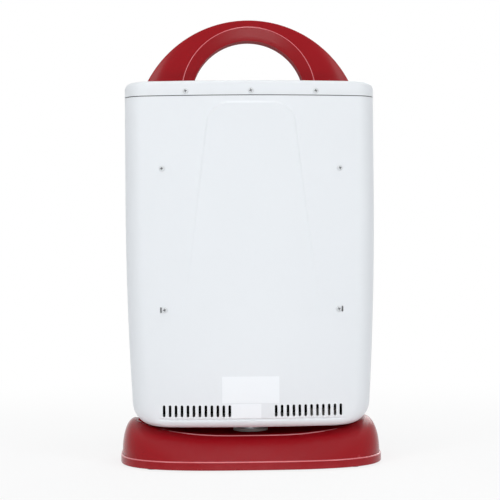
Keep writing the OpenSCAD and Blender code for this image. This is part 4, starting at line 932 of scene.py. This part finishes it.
class HEATER_OT_handle(bpy.types.Operator):
    """Builds both halves of the handle: dished band, fine ridge and shoulders that roll off to the rim"""

    bl_idname = "heater.handle"
    bl_label = "Handle"

    def execute(self, context):
        s = sizes()
        low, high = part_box("handle_rear")
        top, foot, half_t, seam = high.z, low.z, high.y, low.y
        rim = arch(s.arch_r, top, foot)
        ridge = arch(s.ridge_r, top - s.crown, foot)
        opening = arch(s.opening_r, top - s.crown - s.grip, foot)
        widest = (rim(1) - ridge(1)).length
        edge = 1 * MM
        # Ends of the band and of the shoulder beside the ridge, and the ridge's own profile between them
        band_end, shoulder_start = 0.9 * MM, 1.2 * MM
        ridge_profile = ((-0.45, 0.05), (0, 0), (0.35, 0.15), (0.7, 0.6))
        edge_steps, band_steps, rim_steps, least_rim = 4, 6, 5, 0.4

        def section(t):
            """Points of one cut through the rear half, from the opening's wall over the ridge to the rim."""
            start, peak, end = opening(t), ridge(t), rim(t)
            inwards, outwards = peak - start, end - peak
            band_w, shoulder_w = inwards.length, outwards.length
            inwards, outwards = inwards / band_w, outwards / shoulder_w
            low_y, side_y = half_t - s.band_dish, half_t - s.band_step
            cuts = [(start, seam), (start, low_y - edge)]
            for k in range(1, edge_steps + 1):
                a = math.radians(90 * k / edge_steps)
                cuts.append((start + inwards * edge * (1 - math.cos(a)), low_y - edge * (1 - math.sin(a))))
            for share in spread(edge / band_w, 1 - band_end / band_w, band_steps)[1:]:
                cuts.append((start + inwards * band_w * share, low_y + (half_t - low_y) * share))
            for out, down in ridge_profile:
                cuts.append((peak + outwards * out * MM, half_t - down * MM))
            drop = s.shoulder_drop * (shoulder_w / widest) ** 2
            rim_r = s.rim_round * (least_rim + (1 - least_rim) * shoulder_w / widest)
            turn_at = 1 - rim_r / shoulder_w
            for share in spread(shoulder_start / shoulder_w, turn_at, 16):
                cuts.append((peak + outwards * shoulder_w * share, side_y - drop * share**3))
            y = cuts[-1][1]
            for k in range(1, rim_steps + 1):
                a = math.radians(90 * k / rim_steps)
                cuts.append((end - outwards * rim_r * (1 - math.sin(a)), y - rim_r * (1 - math.cos(a))))
            cuts.append((end, seam))
            return [(place.x, y, place.z) for place, y in cuts]

        rows = [section(t) for t in spread(-1, 1, 160)]
        count = len(rows[0])
        ridge_start = 2 + edge_steps + band_steps
        ridge_columns = range(ridge_start, ridge_start + len(ridge_profile) - 1)
        faces = grid_faces(len(rows), count, True)
        faces += [tuple(range(count)), tuple((len(rows) - 1) * count + k for k in range(count))]
        for side, node in ((1, "handle_rear"), (-1, "handle_front")):
            points = [(x, side * y, z) for row in rows for x, y, z in row]
            piece = new_piece(f"{node}_shell", points, faces, "red_moulding", "red_highlight", "red_inner_shade")
            # The ridge's faces take a painted highlight and the opening's wall a painted shade
            for row in range(len(rows) - 1):
                mark_faces(piece, 1, [row * count + i for i in ridge_columns])
                mark_faces(piece, 2, [row * count])
            face_outwards(piece)
            settle(piece, "heater_body", "red_plastic", node, crisp=40)
        return {"FINISHED"}


def front_columns(plan):
    """Points of one level of the front frame, from its left rear edge round the front to its right one."""
    half = [(x, plan.front) for x in spread(0, plan.half - plan.front_corner, 14)]
    half += [plan.front_point(k / 12) for k in range(1, 13)]
    half += [(plan.half, y) for y in spread(plan.front + plan.front_corner, SPLIT_Y - 0.1 * MM, 5)[1:]]
    return [(x, y, plan.z) for x, y in [(-x, y) for x, y in reversed(half[1:])] + half]


class HEATER_OT_front_frame(bpy.types.Operator):
    """Builds the smooth front frame and the wall that returns inwards round its window"""

    bl_idname = "heater.front_frame"
    bl_label = "Front Frame"

    def execute(self, context):
        s = sizes()
        wall = 2.2 * MM
        ups = levels(edge_ups(s.bottom_corner, steps=14), edge_ups(s.bottom_front))
        ups += spread(s.bottom_corner, SEAM_LOW - BODY_Z, 40)[1:]
        rows = [front_columns(Plan(0, margin=FLANGE))] + [front_columns(Plan(up)) for up in ups]
        points, faces = [p for row in rows for p in row], grid_faces(len(rows), len(rows[0]), False)
        # The inside takes the painted shade black
        piece = new_piece("front_frame_shell", points, faces, "white_moulding", "painted_shade_black")
        thicken(piece, wall)
        guard_low, guard_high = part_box("wire_guard")
        window_w = guard_high.x - guard_low.x + 0.6 * MM
        window_h, window_r, panel_r, gap, steps = s.window_h, 14 * MM, 8.2 * MM, 0.4 * MM, 12
        window_mid = BODY_Z + s.window_up + window_h / 2
        panel_low, panel_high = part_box("control_panel")
        panel_w, panel_h = panel_high.x - panel_low.x, panel_high.z - panel_low.z
        tool = bmesh.new()
        for w, h, r, z in (
            (window_w + 2 * wall, window_h + 2 * wall, window_r + wall, window_mid),
            (panel_w + gap, panel_h + gap, panel_r, (panel_low.z + panel_high.z) / 2),
        ):
            place = Matrix.Translation((0, FRONT_Y, z)) @ Matrix.Rotation(math.radians(90), 4, "X")
            add_prism(tool, rounded_outline(w, h, r, steps), -CUT_REACH, CUT_REACH, place)
        cut(piece, tool, "white_moulding")
        settle(piece, "heater_body", "white_plastic", "front_frame")

        # The wall's section, outwards from the window and back from the front face, with a beaded edge
        wall_back, bead_start, bead_half, bead_base, bead_h = 14 * MM, 1 * MM, 1.7 * MM, 0.6 * MM, 1.5 * MM
        profile = [(0, wall_back), (0, bead_start)]
        for turn in spread(0, math.pi, 10):
            profile.append((bead_half * (1 - math.cos(turn)), bead_base - bead_h * math.sin(turn)))
        profile += [(wall, bead_start), (wall, wall_back)]
        points = []
        for out, back in profile:
            outline = rounded_outline(window_w + 2 * out, window_h + 2 * out, window_r + out, steps)
            points += [(x, FRONT_Y + back, window_mid + z) for x, z in outline]
        piece = new_piece("window_wall", points, ring_faces(len(profile), len(outline)), "white_moulding")
        settle(piece, "heater_body", "white_plastic")
        return {"FINISHED"}


class HEATER_OT_blank_plates(bpy.types.Operator):
    """Lays the two bare foil plates on the rear face"""

    bl_idname = "heater.blank_plates"
    bl_label = "Blank Plates"

    def execute(self, context):
        columns = 25
        loop = 2 * columns
        # Height above the case and inset from the outline, for a plate's foot, its edge and its face
        layers = ((-0.3 * MM, 0), (0.14 * MM, 0), (0.24 * MM, 0.3 * MM))
        for name, x, z, w, h in (
            ("blank_plate_large", 2.6 * MM, 95.5 * MM, 71 * MM, 33 * MM),
            ("blank_plate_small", 8 * MM, 69 * MM, 36.5 * MM, 17.4 * MM),
        ):
            points = []
            for lift, inset in layers:
                across = spread(x - w / 2 + inset, x + w / 2 - inset, columns - 1)
                for side, xs in ((-1, across), (1, across[::-1])):
                    pz = z + side * (h / 2 - inset)
                    points += [(px, Plan(pz - BODY_Z).rear_y(px) + lift, pz) for px in xs]
            faces = grid_faces(len(layers), loop, True)
            for first in (0, 2 * loop):
                last = first + loop - 1
                faces += [(first + k, first + k + 1, last - k - 1, last - k) for k in range(columns - 1)]
            piece = new_piece(name, points, faces, "blank_foil")
            face_outwards(piece)
            settle(piece, "heater_body", "white_steel")
        return {"FINISHED"}


class HEATER_OT_screws(bpy.types.Operator):
    """Builds the painted pan heads of the case's screws, domed and with a cross recess"""

    bl_idname = "heater.screws"
    bl_label = "Screws"

    def execute(self, context):
        s = sizes()
        rear, cap = [], []
        for side in (-1, 1):
            rear.append(on_rear(side * s.upper_screw_x, BODY_Z + s.upper_screw_up))
            rear.append(on_rear(side * s.lower_screw_x, BODY_Z + s.lower_screw_up))
        for x in (-s.cap_screw_x, 0, s.cap_screw_x):
            cap.append(on_rear(x, CAP_LOW.z + s.cap_screw_up))
        # Shares of the head's radius and height: sunk foot, upright skirt, dome and cross recess
        sunk, skirt, recess_l, recess_w, recess_low = -0.2, 0.25, 1.05, 0.27, 0.4
        recess_turn = Matrix.Rotation(math.radians(17), 4, "Z")
        around = 32
        dome = [(1, sunk), (1, skirt)]
        for turn in (math.radians(10 * k) for k in range(1, 9)):
            dome.append((math.cos(turn), skirt + (1 - skirt) * math.sin(turn)))
        turns = spread(0, 2 * math.pi, around)[:-1]
        spots = [(s.head_r * math.cos(a), s.head_r * math.sin(a)) for a in turns]
        half, thin = recess_l * s.head_r / 2, recess_w * s.head_r / 2
        cross = [(half, -thin), (half, thin), (thin, thin), (thin, half), (-thin, half), (-thin, thin)]
        cross += [(-x, -y) for x, y in cross]
        for node, places in (("rear_cover_screws", rear), ("top_cap_screws", cap)):
            heads, tool = bmesh.new(), bmesh.new()
            for place in places:
                add_rings(heads, [
                    [place @ Vector((share * x, share * y, s.head_h * up)) for x, y in spots]
                    for share, up in dome
                ])
                add_prism(tool, cross, recess_low * s.head_h, 2 * s.head_h, place @ recess_turn)
            # The cross recesses' walls take a painted shade
            piece = from_bmesh(f"{node}_heads", heads, "screw_paint", "recess_shade")
            cut(piece, tool, "recess_shade")
            settle(piece, "heater_body", "screw_steel", node, crisp=35)
        return {"FINISHED"}


class HEATER_OT_dials(bpy.types.Operator):
    """Prints plain marks round both knobs and lays a pale inlay in each pointer"""

    bl_idname = "heater.dials"
    bl_label = "Dials"

    def execute(self, context):
        panel_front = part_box("control_panel")[0].y
        mark_gap, mark_w, long_mark, short_mark = 3 * MM, 0.9 * MM, 5 * MM, 3.2 * MM
        mark_low, mark_high = -0.3 * MM, 0.12 * MM
        inlay_l, inlay_w, inlay_in = 6.8 * MM, 1.5 * MM, 5.5 * MM
        inlay_low, inlay_high = -0.82 * MM, -0.3 * MM
        face_front = Matrix.Rotation(math.radians(90), 4, "X")
        for knob, sweep, count, every in (("power_knob", 180, 5, 1), ("timer_knob", 300, 13, 3)):
            low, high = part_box(knob)
            middle = (low + high) / 2
            knob_r = (high.x - low.x) / 2
            marks = bmesh.new()
            for k in range(count):
                long_side = short_mark if k % every else long_mark
                reach = knob_r + mark_gap + long_side / 2
                turn = math.radians(sweep * k / (count - 1))
                place = Matrix.Translation((
                    middle.x + reach * math.sin(turn), panel_front, middle.z + reach * math.cos(turn)
                ))
                place = place @ Matrix.Rotation(turn, 4, "Y") @ face_front
                add_prism(marks, upright_slot(long_side, mark_w), mark_low, mark_high, place)
            piece = from_bmesh(knob.replace("knob", "dial_marks"), marks, "dial_ink")
            settle(piece, "heater_body", "black_plastic")

            inlay = bmesh.new()
            place = Matrix.Translation((middle.x, low.y, middle.z + knob_r - inlay_in)) @ face_front
            add_prism(inlay, upright_slot(inlay_l, inlay_w), inlay_low, inlay_high, place)
            piece = from_bmesh(knob.replace("knob", "pointer_inlay"), inlay, "white_moulding")
            settle(piece, knob, "white_plastic")
        return {"FINISHED"}


class HEATER_OT_coils(bpy.types.Operator):
    """Winds the heating coils inside the quartz tubes"""

    bl_idname = "heater.coils"
    bl_label = "Coils"

    def execute(self, context):
        low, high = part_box("heating_coils")
        wire, per_turn, around, turns = 0.55 * MM, 14, 6, 64
        coil_r = (high.y - low.y) / 2 - wire
        points, faces = [], []
        for node in ("quartz_tube_lower", "quartz_tube_middle", "quartz_tube_upper"):
            tube_low, tube_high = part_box(node)
            y, z = (tube_low.y + tube_high.y) / 2, (tube_low.z + tube_high.z) / 2
            first = len(points)
            along = spread(low.x + wire, high.x - wire, turns * per_turn)
            for k, x in enumerate(along):
                turn = 2 * math.pi * k / per_turn
                for a in spread(0, 2 * math.pi, around)[:-1]:
                    out, reach = wire * math.sin(a), coil_r + wire * math.cos(a)
                    points.append((x + out, y + reach * math.cos(turn), z + reach * math.sin(turn)))
            last = len(points) - around
            faces += [tuple(first + n for n in face) for face in grid_faces(len(along), around, True)]
            faces += [tuple(range(end, end + around)) for end in (first, last)]
        piece = new_piece("heating_coil_windings", points, faces, "coil_wire")
        face_outwards(piece)
        settle(piece, "heater_body", "coil_wire", "heating_coils", crisp=60)
        return {"FINISHED"}


class HEATER_OT_cad_pieces(bpy.types.Operator):
    """Gives the pieces that keep their CAD shape their finishes"""

    bl_idname = "heater.cad_pieces"
    bl_label = "CAD Pieces"

    def execute(self, context):
        dress("red_moulding", "power_knob", "timer_knob", "swing_button")
        dress("panel_moulding", "control_panel")
        dress("pale_moulding", "swivel_bush", "swing_gear", "swing_pinion", "tip_plunger")
        dress("black_moulding", "tip_switch", "power_switch", "timer_unit", "swing_switch", "thermal_cutout")
        dress("black_rubber", "rubber_feet", "cord_gland")
        dress("zinc_sheet", "base_plate", "pivot_tube", "swing_motor", "chassis_left", "chassis_right",
              "power_shaft", "timer_shaft")
        dress("black_sheet", "heat_shield")
        dress("white_enamel", "bottom_pan")
        dress("screw_zinc", "base_plate_screws", "pivot_screws", "swivel_clip", "swing_motor_screws",
              "bottom_pan_screws", "handle_screws", "chassis_screws")
        dress("chrome_wire", "wire_guard")
        dress("polished_sheet", "reflector")
        dress("milky_quartz", "quartz_tube_lower", "quartz_tube_middle", "quartz_tube_upper")
        dress("ceramic", "ceramic_caps_left", "ceramic_caps_right", "terminal_block")
        dress("amber_lens", "pilot_lamp")
        return {"FINISHED"}


def soft_lamp(name, place, target, size, power):
    data = bpy.data.lights.new(name, "AREA")
    data.shape = "RECTANGLE"
    data.size, data.size_y = size
    data.energy = power
    lamp = bpy.data.objects.new(name, data)
    lamp.location = place
    lamp.visible_camera = False
    lamp.rotation_euler = (Vector(target) - Vector(place)).to_track_quat("-Z", "Y").to_euler()
    bpy.context.scene.collection.objects.link(lamp)


def see_white(tree, strength, lit, white, output):
    """Shows plain white in place of a lit shader, to the camera and in reflections."""
    path = tree.nodes.new("ShaderNodeLightPath")
    seen = math_node(tree, "MAXIMUM", path.outputs["Is Camera Ray"], path.outputs["Is Glossy Ray"])
    seen = math_node(tree, "MAXIMUM", seen, path.outputs["Is Transmission Ray"])
    factor = math_node(tree, "MULTIPLY", seen, strength)
    mix = tree.nodes.new("ShaderNodeMixShader")
    for source, socket in zip((factor, lit.outputs[0], white.outputs[0]), mix.inputs):
        tree.links.new(source, socket)
    tree.links.new(mix.outputs[0], tree.nodes[output].inputs["Surface"])


class HEATER_OT_stage(bpy.types.Operator):
    """Sets the floor, the soft light, the white background and the camera"""

    bl_idname = "heater.stage"
    bl_label = "Stage"

    def execute(self, context):
        scene = context.scene
        scene.view_settings.view_transform = "Standard"
        world = bpy.data.worlds.new("white_room")
        world.use_nodes = True
        scene.world = world
        tree = world.node_tree
        ambient = tree.nodes["Background"]
        ambient.inputs["Color"].default_value = (1, 1, 1, 1)
        ambient.inputs["Strength"].default_value = 0.4
        plain = tree.nodes.new("ShaderNodeBackground")
        plain.inputs["Color"].default_value = (1, 1, 1, 1)
        see_white(tree, 1.0, ambient, plain, "World Output")

        corners = [(9 * x, 9 * y, 0) for x, y in ((-1, -1), (1, -1), (1, 1), (-1, 1))]
        floor = new_piece("floor", corners, [(0, 1, 2, 3)])
        material, tree, shader = new_finish("pale_floor")
        drifted = use_group(tree, "Tone drift", Base=colours().floor, Drift=0.01, Scale=2.0, Gloss=0.7)
        link_tone(tree, drifted, shader)
        shader.inputs["Specular IOR Level"].default_value = 0.0
        white = tree.nodes.new("ShaderNodeEmission")
        spot = tree.nodes.new("ShaderNodeVectorMath")
        spot.operation = "LENGTH"
        tree.links.new(object_coordinates(tree), spot.inputs[0])
        far = tree.nodes.new("ShaderNodeMapRange")
        far.interpolation_type = "SMOOTHSTEP"
        far.inputs["From Min"].default_value = 0.15
        far.inputs["From Max"].default_value = 1.2
        far.inputs["To Min"].default_value = 0.8
        tree.links.new(spot.outputs["Value"], far.inputs["Value"])
        see_white(tree, far.outputs[0], shader, white, "Material Output")
        floor.data.materials.append(material)

        middle = (0, 0, 0.28)
        soft_lamp("left", (1.6, 1.8, 1.25), middle, (0.6, 1.2), 12.8)
        soft_lamp("right", (-1.7, 1.8, 1.2), middle, (0.6, 1.2), 10.8)
        soft_lamp("top", (0, 0.5, 2.2), middle, (0.9, 0.5), 9.5)
        soft_lamp("bounce", (0, 1.3, 0.03), (0, 0, 0.5), (0.5, 0.2), 2.8)
        soft_lamp("front", (-0.7, -2.4, 1.4), middle, (1.6, 1.6), 20)

        data = bpy.data.cameras.new("camera")
        data.sensor_width = 36
        data.lens = 104.5
        camera = bpy.data.objects.new("camera", data)
        turn = math.radians(177.4)
        distance, height, shift, roll = 1.874, 0.269, -1 * MM, math.radians(-0.4)
        aim = Vector((-math.sin(turn), math.cos(turn), 0)).to_track_quat("-Z", "Y")
        camera.location = (distance * math.sin(turn) + shift, -distance * math.cos(turn), height)
        camera.rotation_euler = (aim @ Quaternion((0, 0, 1), roll)).to_euler()
        scene.collection.objects.link(camera)
        scene.camera = camera
        return {"FINISHED"}


class HEATER_PT_pieces(bpy.types.Panel):
    """Lists the heater's pieces in the order in which they are made"""

    bl_idname = "HEATER_PT_pieces"
    bl_label = "Electric Room Heater"
    bl_space_type = "VIEW_3D"
    bl_region_type = "UI"
    bl_category = "Heater"

    def draw(self, context):
        for operator in OPERATORS:
            self.layout.operator(operator.bl_idname)


OPERATORS = (
    HEATER_OT_finishes,
    HEATER_OT_rear_cover,
    HEATER_OT_top_cap,
    HEATER_OT_base_cover,
    HEATER_OT_handle,
    HEATER_OT_front_frame,
    HEATER_OT_blank_plates,
    HEATER_OT_screws,
    HEATER_OT_dials,
    HEATER_OT_coils,
    HEATER_OT_cad_pieces,
    HEATER_OT_stage,
)
CLASSES = (HeaterSizes, HeaterColours, *OPERATORS, HEATER_PT_pieces)


def register():
    for cls in CLASSES:
        bpy.utils.register_class(cls)
    bpy.types.Scene.heater_sizes = PointerProperty(type=HeaterSizes)
    bpy.types.Scene.heater_colours = PointerProperty(type=HeaterColours)


def unregister():
    del bpy.types.Scene.heater_colours
    del bpy.types.Scene.heater_sizes
    for cls in reversed(CLASSES):
        bpy.utils.unregister_class(cls)


def main():
    register()
    for operator in OPERATORS:
        group, name = operator.bl_idname.split(".")
        getattr(getattr(bpy.ops, group), name)()


if __name__ == "__main__":
    main()
